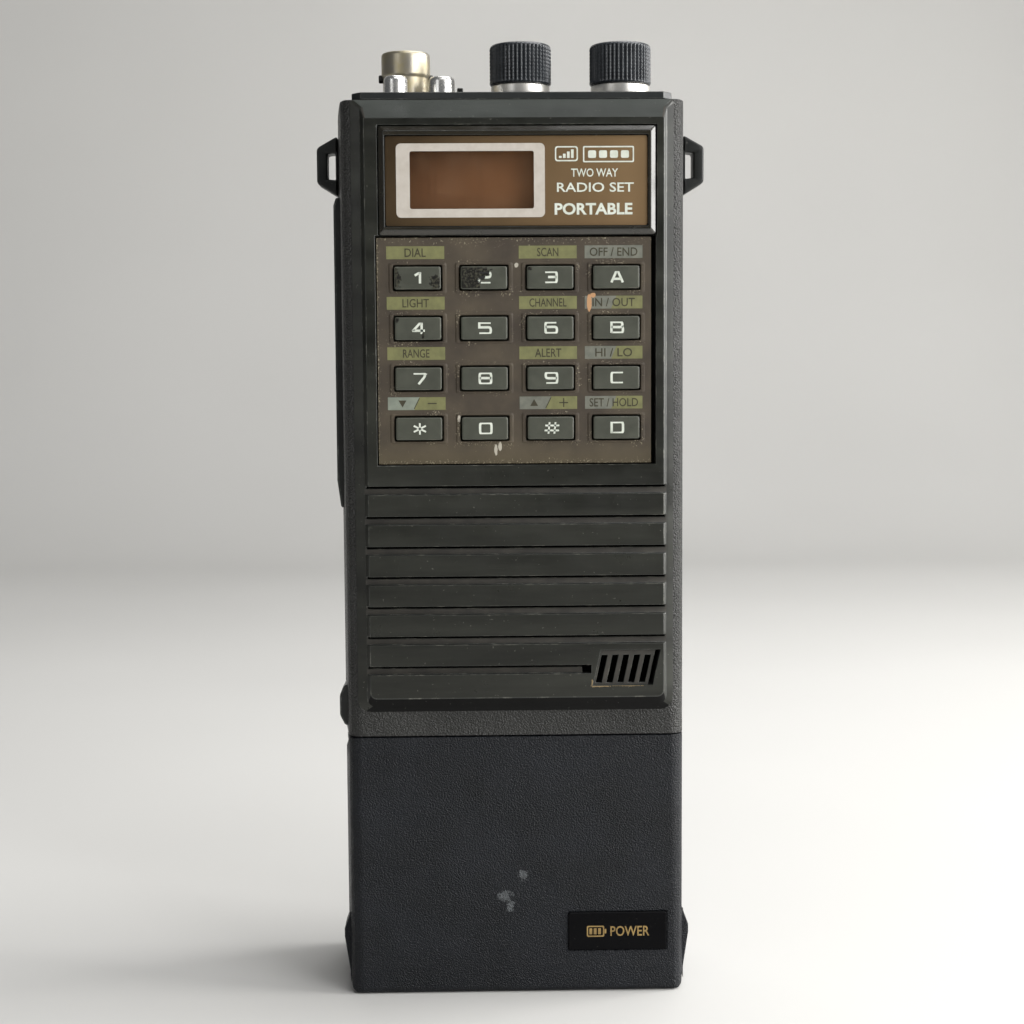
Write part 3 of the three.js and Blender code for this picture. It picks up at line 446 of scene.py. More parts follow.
def plain_moulding(name, dark, light, roughness=0.5, grain_mm=0.3, specular=0.5):
    """Small moulded part: fine grain, slight colour drift."""
    s = Shader(name, Specular_IOR_Level=specular)
    drift = s.ramp(s.noise(4, detail=3), 0.35, 0.7)
    s.set(Base_Color=s.mix(drift, dark, light), Roughness=roughness)
    s.set(Normal=s.bump(s.noise(grain_mm, detail=3), 0.01, 0.6))
    return s.material


def woven_cloth():
    """Dark speaker cloth: over and under threads."""
    s = Shader("speaker_cloth", Roughness=0.95)
    across = s.node("TexWave", {"Vector": s.place, "Scale": 700.0}, bands_direction="X")
    upward = s.node("TexWave", {"Vector": s.place, "Scale": 700.0}, bands_direction="Z")
    weave = s.math("MULTIPLY", across.outputs["Fac"], upward.outputs["Fac"])
    s.set(Base_Color=s.mix(weave, (14, 14, 13), (40, 39, 36)))
    s.set(Normal=s.bump(weave, 0.08))
    return s.material


def circuit_board():
    """Green varnish over copper tracks."""
    s = Shader("circuit_board", Roughness=0.4)
    tracks = s.node("TexBrick", {"Vector": s.stretched((1, 1, 1)), "Scale": 260.0}).outputs["Fac"]
    s.set(Base_Color=s.mix(tracks, (30, 78, 48), (70, 120, 70)))
    s.set(Normal=s.bump(tracks, 0.03))
    return s.material


# Places of damage, in front view: x, z, half width, half height.
PEELED = (
    (-22.0, 138.5, 0.9, 1.7),
    (-14.6, 137.8, 1.1, 1.4),
    (-8.3, 138.7, 2.5, 2.9),
    (-6.1, 139.5, 1.6, 1.2),
    (3.0, 140.5, 0.5, 0.5),
    (-22.0, 131.0, 0.5, 0.6),
    (-17.1, 127.9, 0.25, 0.9),
)
BARE_CHIPS = ((14.3, 133.9, 0.45, 1.6), (15.0, 135.3, 0.5, 0.45))
SMEARS = (
    (-3.5, 106.2, 0.3, 1.0),
    (-2.7, 106.9, 0.35, 0.9),
    (0.6, 141.0, 0.35, 0.45),
    (-10.4, 112.2, 0.35, 0.6),
)
GRILLE_WEAR = ((16.2, 60.8, 1.7, 0.22), (21.5, 60.85, 3.5, 0.14), (14.7, 61.3, 0.2, 0.6))
SCUFFS = ((1.1, 23.6, 0.8, 1.0), (-2.4, 19.4, 1.2, 1.0), (-1.3, 17.4, 0.7, 0.9))

SKIN = grained("skin", (36, 36, 34), (48, 48, 46), 0.32, 0.24, 0.36, 0.42)
BATTERY_SKIN = grained("battery_skin", (11, 14, 19), (21, 24, 30), 0.28, 0.2, 0.42, 0.3, SCUFFS)
PANEL = smooth_plastic("panel", (21, 22, 17), (47, 48, 42), 0.36, chips=GRILLE_WEAR)
# Lighter plastic for the panel's upward faces at its head: a painted sheen of the light from above.
PANEL_TOP_SHEEN = smooth_plastic("panel_top_painted_sheen", (46, 50, 46), (60, 65, 60), 0.34)
# Near-black plastic for the panel's downward faces at its foot: painted shade.
PANEL_UNDER_SHADE = smooth_plastic("panel_under_painted_shade", (9, 9, 9), (16, 16, 15), 0.5, specular=0.15)
PANEL_EDGE = worn_edge("panel_edge", (42, 44, 40), (96, 96, 88))
GROOVE = plain_moulding("groove_floor", (48, 46, 42), (64, 61, 55), 0.75)
BEZEL = smooth_plastic("bezel", (31, 28, 20), (42, 38, 28), 0.2, 0.003, 0.1, specular=0.9)
BEZEL_EDGE = worn_edge("bezel_edge", (38, 39, 36), (90, 90, 84), 0.6)
TRIM = smooth_plastic("trim", (22, 23, 22), (34, 36, 34), 0.4)
LID = smooth_plastic("lid", (28, 31, 31), (40, 43, 43), 0.42)
TRIM_EDGE = worn_edge("trim_edge", (36, 38, 36), (84, 86, 82))
# Near-black, barely reflective inner walls: painted shade, so openings into the case read dark.
INSIDE_SHADE = plain_moulding("inside", (7, 7, 6), (12, 11, 10), 0.9, specular=0.05)
PLATE = keypad_paint()
KEY = key_paint("key")
KEY_PEELED = key_paint("key_peeled", peeled=True)
KEY_EDGE = worn_edge("key_edge", (78, 80, 70), (104, 104, 92))
WHITE_INK = printed("white_ink", (226, 230, 218), (206, 212, 198))
BORDER_INK = printed("border_ink", (206, 199, 189), (196, 188, 177), 0.4, 0.05)
OLIVE_INK = printed("olive_ink", (128, 128, 84), (112, 112, 74))
GREY_INK = printed("grey_ink", (124, 125, 113), (104, 107, 97))
PALE_INK = printed("pale_ink", (140, 148, 134), (122, 129, 118))
DARK_INK = printed("dark_ink", (66, 61, 42), (52, 48, 34), wear=0)
GOLD_INK = printed("gold_ink", (168, 140, 84), (132, 108, 62), 0.35, 0.3)
WINDOW = smoked_window()
LCD = lcd_glass()
PANE = clear_pane()
KNOB = plain_moulding("knob_plastic", (42, 45, 49), (58, 62, 66), 0.25)
COLLAR = metal("collar_metal", (232, 230, 225), (214, 210, 200), 0.3, 3, True, 0.75)
NICKEL = metal("aged_nickel", (186, 180, 168), (188, 176, 140), 0.3, 4.5, metallic=0.85)
CHROME = metal("chrome", (232, 232, 230), (216, 214, 208), 0.2, metallic=0.85)
STEEL = metal("steel", (206, 206, 204), (170, 168, 162), 0.24)
BLACK_STEEL = metal("black_steel", (58, 58, 58), (86, 84, 78), 0.4)
GOLD = metal("gold_plate", (220, 184, 104), (180, 142, 72), 0.25)
CAST = metal("cast_alloy", (150, 152, 152), (120, 122, 122), 0.5, 5)
TEFLON = plain_moulding("insulator_plastic", (214, 208, 194), (232, 228, 218), 0.5)
GLOSS = smooth_plastic("gloss_black", (6, 6, 8), (10, 10, 12), 0.22, 0.004, 0.1, specular=0.07)
FELT = plain_moulding("felt", (12, 12, 11), (20, 20, 18), 0.95, 0.2, specular=0.05)
RUBBER = plain_moulding("rubber", (66, 66, 62), (80, 80, 76), 0.85)
CLOTH = woven_cloth()
PAPER = plain_moulding("paper_cone", (42, 38, 32), (58, 52, 44), 0.9, 0.2)
BOARD = circuit_board()
SLEEVE = plain_moulding("cell_sleeve", (36, 96, 66), (48, 112, 78), 0.4)
LINE_INK = printed("line_ink", (232, 232, 226), (206, 206, 200))


# ---------------------------------------------------------------- mesh helpers


SHARP_ANGLE = 24
CORNER_STEPS = 5


def make_object(name, bm, materials, body, smooth_angle=35, weighted=True):
    """A mesh piece from bmesh data, riding on a body, smooth except at sharp edges."""
    mesh = bpy.data.meshes.new(name)
    bm.normal_update()
    bm.to_mesh(mesh)
    bm.free()
    for material in materials:
        mesh.materials.append(material)
    for polygon in mesh.polygons:
        polygon.use_smooth = True
    mesh.set_sharp_from_angle(angle=math.radians(smooth_angle))
    piece = bpy.data.objects.new(name, mesh)
    bpy.context.scene.collection.objects.link(piece)
    if weighted:
        modifier = piece.modifiers.new("even_shading", "WEIGHTED_NORMAL")
        modifier.keep_sharp = True
    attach(piece, body)
    return piece


def node_bmesh(node):
    """A CAD node's own shape with its flat faces whole again."""
    bm = bmesh.new()
    bm.from_mesh(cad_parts[node].data)
    bmesh.ops.remove_doubles(bm, verts=bm.verts, dist=1e-6)
    bmesh.ops.dissolve_limit(bm, angle_limit=math.radians(0.6), verts=bm.verts, edges=bm.edges)
    return bm


def soften(bm, width_mm, chosen=lambda edge: True, segments=2, edge_slot=0):
    """Rounds the sharp edges that the test chooses."""
    edges = [
        e
        for e in bm.edges
        if len(e.link_faces) == 2
        and e.calc_face_angle(0) > math.radians(SHARP_ANGLE)
        and chosen(e)
    ]
    bmesh.ops.bevel(
        bm,
        geom=edges,
        offset=width_mm * MM,
        offset_type="OFFSET",
        segments=segments,
        profile=0.5,
        affect="EDGES",
        clamp_overlap=False,
        material=edge_slot,
    )


def softened(name, node, body, materials, width_mm, chosen=lambda edge: True, segments=2):
    """A CAD node's shape with rounded edges, standing for the node. The last material is the edges'."""
    bm = node_bmesh(node)
    soften(bm, width_mm, chosen, segments=segments, edge_slot=len(materials) - 1)
    piece = make_object(name, bm, materials, body)
    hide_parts(node)
    return piece


def ring_points(low_x, high_x, low_z, high_z, radius):
    """Points of a rounded rectangle in X and Z, anticlockwise from the front."""
    corners = (
        (high_x - radius, low_z + radius, -90),
        (high_x - radius, high_z - radius, 0),
        (low_x + radius, high_z - radius, 90),
        (low_x + radius, low_z + radius, 180),
    )
    points = []
    for cx, cz, start in corners:
        for i in range(CORNER_STEPS + 1):
            angle = math.radians(start + 90 * i / CORNER_STEPS)
            points.append((cx + radius * math.cos(angle), cz + radius * math.sin(angle)))
    return points


def inset_corners(corners, distance):
    """An anticlockwise convex outline moved inwards by a distance."""
    moved = []
    for i, corner in enumerate(corners):
        here = Vector(corner)
        into = (here - Vector(corners[i - 1])).normalized()
        out = (Vector(corners[(i + 1) % len(corners)]) - here).normalized()
        inward = Vector((-into.y - out.y, into.x + out.x)).normalized()
        reach = distance / max(inward.dot(Vector((-out.y, out.x))), 0.2)
        moved.append(here + inward * reach)
    return moved


def corner_curve(corner, arrive, leave, steps):
    """Points of a soft corner, from one offset from the corner to the other."""
    shares = [step / steps for step in range(steps + 1)]
    return [tuple(corner + arrive * (1 - t) ** 2 + leave * t**2) for t in shares]


def rounded_outline(corners, radius):
    """The outline with a curve of equal point count at each corner."""
    points = []
    for i, corner in enumerate(corners):
        here = Vector(corner)
        arrive = (Vector(corners[i - 1]) - here).normalized() * radius
        leave = (Vector(corners[(i + 1) % len(corners)]) - here).normalized() * radius
        points += corner_curve(here, arrive, leave, CORNER_STEPS)
    return points


def join_rings(bm, rings):
    """Bands of faces from each ring of vertices to the next."""
    for near, far in zip(rings, rings[1:]):
        for i in range(len(near)):
            j = (i + 1) % len(near)
            bm.faces.new((near[i], near[j], far[j], far[i]))


def add_loft(bm, sections, material=0):
    """Skin through outlines of equal length: (depth, points) pairs from front to back."""
    rings = []
    for y, points in sections:
        rings.append([bm.verts.new((x * MM, y * MM, z * MM)) for x, z in points])
    loops = []
    for near, far in zip(rings, rings[1:]):
        for i in range(len(near)):
            j = (i + 1) % len(near)
            loops.append((near[j], near[i], far[i], far[j]))
    for loop in loops + [rings[0], rings[-1][::-1]]:
        bm.faces.new(loop).material_index = material


def add_frame(bm, outer, inner, front_y, back_y):
    """Flat frame between two outlines of equal length, with its inner and outer walls."""
    loops = {}
    for key, points, y in (
        ("outer_front", outer, front_y),
        ("inner_front", inner, front_y),
        ("outer_back", outer, back_y),
        ("inner_back", inner, back_y),
    ):
        loops[key] = [bm.verts.new((x * MM, y * MM, z * MM)) for x, z in points]
    count = len(outer)
    pairs = (
        ("outer_front", "inner_front"),
        ("inner_front", "inner_back"),
        ("inner_back", "outer_back"),
        ("outer_back", "outer_front"),
    )
    for first, second in pairs:
        a, b = loops[first], loops[second]
        for i in range(count):
            j = (i + 1) % count
            bm.faces.new((a[i], a[j], b[j], b[i]))


def add_tile(bm, points, front_y, thickness, material=0):
    """A thin flat tile over a front-view outline."""
    add_loft(bm, [(front_y, points), (front_y + thickness, points)], material)


def add_box(bm, low, high):
    """A plain block between two corners, in millimetres."""
    points = [(low[0], low[2]), (high[0], low[2]), (high[0], high[2]), (low[0], high[2])]
    add_loft(bm, [(low[1], points), (high[1], points)])


def add_lathe(bm, centre, profile, steps):
    """Turns (radius, height) points about a vertical axis."""
    rings = []
    for r, z in profile:
        if r == 0:
            rings.append([bm.verts.new((centre[0] * MM, centre[1] * MM, z * MM))])
            continue
        ring = []
        for i in range(steps):
            angle = 2 * math.pi * i / steps
            x = centre[0] + r * math.cos(angle)
            y = centre[1] + r * math.sin(angle)
            ring.append(bm.verts.new((x * MM, y * MM, z * MM)))
        rings.append(ring)
    for low, high in zip(rings, rings[1:]):
        for i in range(steps):
            j = (i + 1) % steps
            if len(low) == 1:
                bm.faces.new((high[j], high[i], low[0]))
            elif len(high) == 1:
                bm.faces.new((low[i], low[j], high[0]))
            else:
                bm.faces.new((low[i], low[j], high[j], high[i]))


# ---------------------------------------------------------------- lettering

# Key marks as strokes on a grid 4 wide and 4 high, drawn with rounded corners.
STROKES = {
    "0": [[(0, 0), (4, 0), (4, 4), (0, 4), (0, 0)]],
    "1": [[(0.8, 2.9), (2.6, 4), (2.6, 0)]],
    "2": [[(0, 4), (4, 4), (4, 2.1), (0, 2.1), (0, 0), (4, 0)]],
    "3": [[(0, 4), (4, 4), (4, 0), (0, 0)], [(1, 2.1), (4, 2.1)]],
    "4": [[(3, 0), (3, 4), (2.5, 4), (0, 1.2), (4.1, 1.2)]],
    "5": [[(4, 4), (0, 4), (0, 2.3), (4, 2.3), (4, 0), (0, 0)]],
    "6": [[(3.8, 4), (0, 4), (0, 0), (4, 0), (4, 2.3), (0, 2.3)]],
    "7": [[(0, 4), (4, 4), (4, 2.9), (1.7, 0)]],
    "8": [[(0, 0), (4, 0), (4, 4), (0, 4), (0, 0)], [(0, 2.1), (4, 2.1)]],
    "9": [[(0.2, 0), (4, 0), (4, 4), (0, 4), (0, 1.9), (4, 1.9)]],
    "A": [[(0, 0), (1.7, 4), (2.3, 4), (4, 0)], [(0.8, 1.3), (3.2, 1.3)]],
    "B": [[(0, 0), (0, 4), (3.8, 4), (3.8, 2.1), (0, 2.1)], [(3.6, 2.1), (4, 2.1), (4, 0), (0, 0)]],
    "C": [[(4, 4), (0, 4), (0, 0), (4, 0)]],
    "D": [[(0, 0), (0, 4), (4, 4), (4, 0), (0, 0)]],
    "*": [[(2, 0.2), (2, 3.8)], [(0.3, 1.1), (3.7, 2.9)], [(0.3, 2.9), (3.7, 1.1)]],
    "#": [[(1.1, 0), (1.5, 4)], [(2.7, 0), (3.1, 4)], [(0.1, 1.3), (4, 1.3)], [(0.3, 2.7), (4.1, 2.7)]],
}
MARK_WIDTH = 2.15
MARK_HEIGHT = 2.05
MARK_STROKE = 0.45
INK_DEPTH = 0.03

# Marks with square corners, with square corners on their left side only, and the two larger ones.
SQUARE_MARKS = "*#4A1"
SQUARE_LEFT = "BD5"
LARGE_MARKS = {"*": 1.25, "#": 1.3}
THIN_SHARE = 0.75


def rounded_path(points, radius, square_x):
    """The path with each inner corner replaced by a short curve, except corners at square_x."""

    def is_square(corner):
        return square_x is not None and abs(corner.x - square_x) < 1e-6

    path = [points[0]]
    for i in range(1, len(points) - 1):
        before, corner, after = (Vector(points[k]) for k in (i - 1, i, i + 1))
        if is_square(corner):
            path.append(tuple(corner))
            continue
        arrive = (before - corner).normalized() * min(radius, (before - corner).length / 2)
        leave = (after - corner).normalized() * min(radius, (after - corner).length / 2)
        path += corner_curve(corner, arrive, leave, 3)
    if points[0] != points[-1]:
        return path + [points[-1]]
    before, corner, after = (Vector(points[k]) for k in (-2, -1, 1))
    reach = 0.01 if is_square(corner) else radius
    arrive = (before - corner).normalized() * reach
    leave = (after - corner).normalized() * reach
    middle = ((points[0][0] + points[1][0]) / 2, (points[0][1] + points[1][1]) / 2)
    return [middle] + path[1:] + corner_curve(corner, arrive, leave, 3) + [middle]


def add_stroke(bm, path, width, front_y):
    """A flat ribbon of even width along a path in X and Z, mitred where it turns."""
    closed = path[0] == path[-1]
    points = [Vector(p) for p in (path[:-1] if closed else path)]
    count = len(points)
    left, right = [], []
    for i, point in enumerate(points):
        before = points[(i - 1) % count] if closed or i else None
        after = points[(i + 1) % count] if closed or i < count - 1 else None
        into = (point - before).normalized() if before is not None else (after - point).normalized()
        out = (after - point).normalized() if after is not None else into
        normal_in = Vector((-into.y, into.x))
        normal_out = Vector((-out.y, out.x))
        mitre = (normal_in + normal_out).normalized()
        reach = width / 2 / max(mitre.dot(normal_out), 0.5)
        left.append(point + mitre * reach)
        right.append(point - mitre * reach)
    spans = range(count) if closed else range(count - 1)
    for i in spans:
        j = (i + 1) % count
        corners = [left[i], right[i], right[j], left[j]]
        add_tile(bm, [(c.x, c.y) for c in corners], front_y, INK_DEPTH)


def add_mark(bm, mark, x, z, front_y):
    """One key mark centred on x and z."""
    width = MARK_WIDTH * LARGE_MARKS.get(mark, 1)
    height = MARK_HEIGHT * LARGE_MARKS.get(mark, 1)
    stroke = MARK_STROKE * (THIN_SHARE if mark in LARGE_MARKS else 1)
    square_x = x - width / 2 if mark in SQUARE_LEFT else None
    radius = 0.05 if mark in SQUARE_MARKS else 0.45
    for line in STROKES[mark]:
        placed = [(x + (px / 4 - 0.5) * width, z + (pz / 4 - 0.5) * height) for px, pz in line]
        add_stroke(bm, rounded_path(placed, radius, square_x), stroke, front_y)


def add_text(bm, text, x, z, front_y, height, width, weight):
    """Plain sans lettering centred on x and z, with the given cap height and overall width."""
    curve = bpy.data.curves.new("lettering", "FONT")
    curve.body = text
    curve.resolution_u = 3
    curve.offset = weight
    writer = bpy.data.objects.new("lettering", curve)
    bpy.context.scene.collection.objects.link(writer)
    bpy.context.view_layer.update()
    outline = bpy.data.meshes.new_from_object(writer.evaluated_get(bpy.context.evaluated_depsgraph_get()))
    bpy.data.objects.remove(writer)
    bpy.data.curves.remove(curve)
    xs = [v.co.x for v in outline.vertices]
    ys = [v.co.y for v in outline.vertices]
    scale_z = height / (max(ys) - min(ys))
    scale_x = width / (max(xs) - min(xs))
    middle = Vector(((max(xs) + min(xs)) / 2, (max(ys) + min(ys)) / 2, 0))
    fresh = []
    for vertex in outline.vertices:
        local = vertex.co - middle
        place = (x + local.x * scale_x, front_y, z + local.y * scale_z)
        fresh.append(bm.verts.new(Vector(place) * MM))
    for polygon in outline.polygons:
        bm.faces.new([fresh[i] for i in polygon.vertices])
    bpy.data.meshes.remove(outline)


# ---------------------------------------------------------------- housing


# The front shell's finishes by slot.
SHELL_FINISHES = [SKIN, PANEL, PANEL_EDGE, GROOVE, INSIDE_SHADE, PANEL_UNDER_SHADE, PANEL_TOP_SHEEN]
SLOT_PANEL, SLOT_EDGE, SLOT_FLOOR, SLOT_INSIDE_SHADE, SLOT_UNDER_SHADE, SLOT_TOP_SHEEN = range(1, 7)
NEAR = 0.05
SHALLOW_DEPTH = 0.4
PANEL_FOOT_Z = 60
PANEL_HEAD_Z = 168
INNER_HALF_X = 31


def shell_slot(face):
    """The finish of one face of the front shell, from where it lies and which way it looks."""
    centre = face.calc_center_median() / MM
    depths = [v.co.y / MM for v in face.verts]
    on_floor = any(abs(centre.y - PANEL_Y - depth) < NEAR for depth in (GROOVE_DEPTH, SHALLOW_DEPTH))
    if face.normal.y < -0.9 and on_floor:
        return SLOT_FLOOR
    if min(depths) < SKIN_Y - NEAR and max(depths) < SKIN_Y + NEAR:
        # Downward faces at the panel's foot take near-black plastic, a painted shade.
        if face.normal.z < -0.3 and centre.z < PANEL_FOOT_Z:
            return SLOT_UNDER_SHADE
        # Upward faces at the panel's head take the lighter plastic, a painted sheen.
        if face.normal.z > 0.3 and centre.z > PANEL_HEAD_Z:
            return SLOT_TOP_SHEEN
        return SLOT_PANEL
    # Inner walls behind the skin take the near-black finish, a painted shade.
    behind = centre.y > SKIN_Y + 0.3
    if behind and abs(centre.x) < INNER_HALF_X and centre.z < lid_low.z - 3:
        return SLOT_INSIDE_SHADE
    return 0


def raised(edge):
    """Edges of the raised panel, in front of the skin."""
    return all(v.co.y < (SKIN_Y - NEAR) * MM for v in edge.verts)


def front_shell():
    """The front case: grained skin, smooth raised panel with worn edges, matt groove floors, a painted sheen
    on the panel's upward faces, and painted shade on its downward faces and on the inner walls.
    """
    bm = node_bmesh("front_case")
    bm.normal_update()
    for face in bm.faces:
        face.material_index = shell_slot(face)
    soften(bm, 0.13, raised, edge_slot=SLOT_EDGE)
    piece = make_object("front_shell", bm, SHELL_FINISHES, HOUSING)
    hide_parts("front_case")


REAR_EDGE_Y = 17.3
SIDE_EDGE_X = 32.8


def outside_edges(edge):
    """Edges that show on the outside of the rear case."""
    return any(v.co.y > REAR_EDGE_Y * MM or abs(v.co.x) > SIDE_EDGE_X * MM for v in edge.verts)


def housing():
    """The shells, lid, lugs, base plate, buttons and screws."""
    front_shell()
    softened("rear_shell", "rear_case", HOUSING, [SKIN, TRIM_EDGE], 0.15, outside_edges)
    softened("lid", "top_panel", HOUSING, [LID, TRIM_EDGE], 0.18)
    strap_lug("left", -1)
    strap_lug("right", 1)
    softened("base_plate", "rail_plate", HOUSING, [CAST, CAST], 0.2)
    softened("talk_bar", "ptt_button", "ptt", [TRIM, TRIM_EDGE], 0.4, segments=3)
    softened("release_pad", "battery_release_button", "release", [TRIM, TRIM_EDGE], 0.4, segments=3)
    softened("level_lever", "power_level_switch", "level_switch", [TRIM, TRIM_EDGE], 0.25)
    for corner in ("upper_left", "upper_right", "lower_left", "lower_right"):
        name = "case_screw_" + corner
        softened(name + "_finished", name, HOUSING, [BLACK_STEEL, BLACK_STEEL], 0.08)


LUG_FOOT_X = 33.72
LUG_HOLE_X = 35.75
LUG_ROOT_X = (31, 33.9)
LUG_SOFT = 0.4


def strap_lug(side, way):
    """A flat ring with softened edges on the side of the housing, and its root inside."""
    low, high = box_mm("strap_lug_" + side)
    far = max(abs(low.x), abs(high.x))
    foot = LUG_FOOT_X + 0.35
    soft = LUG_SOFT
    outer = [(LUG_FOOT_X, 155.1), (far, 157.6), (far, 164.5), (LUG_FOOT_X, 166.8)]
    hole = [(foot, 158.3), (LUG_HOLE_X, 158.5), (LUG_HOLE_X, 163.3), (foot, 163.5)]
    rings = (
        (low.y + soft, outer, 0, 0.7),
        (low.y + 0.1, outer, 0.12, 0.6),
        (low.y, outer, soft, 0.5),
        (low.y, hole, -0.3, 0.6),
        (low.y + 0.3, hole, 0, 0.4),
        (high.y - 0.3, hole, 0, 0.4),
        (high.y, hole, -0.3, 0.6),
        (high.y, outer, soft, 0.5),
        (high.y - 0.1, outer, 0.12, 0.6),
        (high.y - soft, outer, 0, 0.7),
    )
    bm = bmesh.new()
    loops = []
    for y, corners, inset, radius in rings:
        points = rounded_outline(inset_corners(corners, inset), radius)
        loops.append([bm.verts.new((way * x * MM, y * MM, z * MM)) for x, z in points])
    join_rings(bm, loops + loops[:1])
    root_x = sorted(way * x for x in LUG_ROOT_X)
    add_box(bm, (root_x[0], -1, 157), (root_x[1], 3, 165))
    bmesh.ops.recalc_face_normals(bm, faces=bm.faces)
    piece = make_object("lug_" + side, bm, [TRIM], HOUSING, smooth_angle=50)
    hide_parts("strap_lug_" + side)


# ---------------------------------------------------------------- display


# Rectangles on the window: left, right, bottom, top.
OPENING = (-19.2, 3.9, 151.5, 162.06)
BORDER = (-21.8, 6.0, 149.85, 163.55)
CELLS = (13.15, 22.7, 159.95, 162.95)
BADGE_X = 10.05
BADGE_Z = 161.55

# Words on the window: x, z, height, width and weight.
WINDOW_WORDS = {
    "TWO WAY": (15.3, 158.05, 1.55, 8.8, 0.012),
    "RADIO SET": (15.45, 155.35, 1.75, 14.4, 0.012),
    "PORTABLE": (15.1, 151.35, 2.2, 14.6, 0.03),
}


def panel_points(rectangle, radius, inset=0.0):
    """A rounded rectangle moved inwards by an inset."""
    left, right, bottom, top = rectangle
    return ring_points(left + inset, right - inset, bottom + inset, top - inset, radius)


def window_plate():
    """Smoked plate with an opening over the display, and a clear pane in the opening."""
    bm = bmesh.new()
    outline = (window_low.x, window_high.x, window_low.z, window_high.z)
    add_frame(bm, panel_points(outline, 0.4), panel_points(OPENING, 0.4), window_low.y, window_high.y)
    plate = make_object("window_plate", bm, [WINDOW], HOUSING)
    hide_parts("display_window")

    bm = bmesh.new()
    add_tile(bm, panel_points(OPENING, 0.35, 0.05), window_low.y + 0.35, 0.4)
    make_object("window_pane", bm, [PANE], HOUSING)


def window_print():
    """Pale border round the display, and the marks beside it."""
    front = window_low.y
    ink_y = front - INK_DEPTH
    bm = bmesh.new()
    add_frame(bm, panel_points(BORDER, 0.9), panel_points(OPENING, 0.4, -0.05), ink_y, front)
    make_object("window_border", bm, [BORDER_INK], HOUSING)

    bm = bmesh.new()
    add_signal_badge(bm, BADGE_X, BADGE_Z, ink_y)
    add_frame(bm, panel_points(CELLS, 0.25), panel_points(CELLS, 0.15, 0.25), ink_y, front)
    for i in range(4):
        left = CELLS[0] + 0.95 + i * 2.05
        add_tile(bm, ring_points(left, left + 1.5, CELLS[2] + 0.8, CELLS[3] - 0.8, 0.3), ink_y, INK_DEPTH)
    for word, (x, z, height, width, weight) in WINDOW_WORDS.items():
        add_text(bm, word, x, z, ink_y, height, width, weight)
    make_object("window_lettering", bm, [WHITE_INK], HOUSING, weighted=False)


def display():
    """Bezel, window with its print, and the panel behind it."""
    softened("bezel", "display_bezel", HOUSING, [BEZEL, BEZEL_EDGE], 0.1)
    window_plate()
    window_print()
    softened("lcd", "lcd_panel", HOUSING, [LCD, LCD], 0.1)


def add_signal_badge(bm, x, z, ink_y):
    """A plain badge: a rounded frame with four rising bars in it."""
    outer = ring_points(x - 2.15, x + 2.15, z - 1.4, z + 1.4, 0.5)
    add_frame(bm, outer, ring_points(x - 1.9, x + 1.9, z - 1.15, z + 1.15, 0.35), ink_y, ink_y + INK_DEPTH)
    for i in range(4):
        left = x - 1.4 + i * 0.75
        add_tile(bm, ring_points(left, left + 0.5, z - 0.8, z - 0.4 + i * 0.4, 0.05), ink_y, INK_DEPTH)


# ---------------------------------------------------------------- keypad

RIM_SIZE = (11.0, 5.9)
KEY_HOLE = (9.3, 4.85)
RIM_RISE = 0.2
LABEL_RISE_Z = 4.75
LABEL_SIZE = (10.9, 2.4)
PEELED_KEYS = "1234"
FLANGE_THICKNESS = 0.8
MARK_SHIFT = 0.15
MARK_SINK = 0.05


def rect(x, z, size, radius, grow=0.0):
    """A rounded rectangle centred on x and z, larger on each side by grow."""
    half_x = size[0] / 2 + grow
    half_z = size[1] / 2 + grow
    return ring_points(x - half_x, x + half_x, z - half_z, z + half_z, radius)


def key_cap(mark):
    """One keycap with softened edges, a slightly hollow face and its mark."""
    node = key_node(mark)
    word = node.removeprefix("key_")
    low, high = box_mm(node)
    x = (low.x + high.x) / 2
    z = (low.z + high.z) / 2
    flange = (high.x - low.x, high.z - low.z)
    flange_y = high.y - FLANGE_THICKNESS
    face_y = low.y
    bm = bmesh.new()
    sections = [
        (face_y + 0.04, rect(x, z, KEY_SIZE, 0.1, -1.6)),
        (face_y + 0.015, rect(x, z, KEY_SIZE, 0.15, -0.9)),
        (face_y, rect(x, z, KEY_SIZE, 0.2, -0.32)),
        (face_y + 0.03, rect(x, z, KEY_SIZE, 0.3, -0.15)),
        (face_y + 0.13, rect(x, z, KEY_SIZE, 0.35, -0.03)),
        (face_y + 0.35, rect(x, z, KEY_SIZE, 0.35, 0)),
        (flange_y, rect(x, z, KEY_SIZE, 0.35, 0)),
        (flange_y, rect(x, z, flange, 0.4, 0)),
        (high.y, rect(x, z, flange, 0.4, 0)),
    ]
    add_loft(bm, sections)
    bm.normal_update()
    for face in bm.faces:
        depth = face.calc_center_median().y / MM - face_y
        if abs(face.normal.y) < 0.97 and 0.02 < depth < 0.3:
            face.material_index = 1
    paint = KEY_PEELED if mark in PEELED_KEYS else KEY
    cap = make_object("cap_" + word, bm, [paint, KEY_EDGE], node)
    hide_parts(node)

    bm = bmesh.new()
    add_mark(bm, mark, x + MARK_SHIFT, z, face_y - INK_DEPTH + MARK_SINK)
    make_object("mark_" + word, bm, [WHITE_INK], node, weighted=False)


def add_key_rim(bm, x, z):
    """The raised rim round one key's hole."""
    hole = rect(x, z, KEY_HOLE, 0.3)
    top_y = PLATE_Y - RIM_RISE
    sections = [
        (PLATE_Y + 0.02, rect(x, z, RIM_SIZE, 0.5)),
        (top_y, rect(x, z, RIM_SIZE, 0.35, -0.28)),
        (top_y, rect(x, z, KEY_HOLE, 0.3, 0.12)),
        (top_y + 0.1, hole),
        (PLATE_Y + 0.4, hole),
    ]
    rings = [[bm.verts.new((px * MM, y * MM, pz * MM)) for px, pz in points] for y, points in sections]
    join_rings(bm, rings + rings[:1])


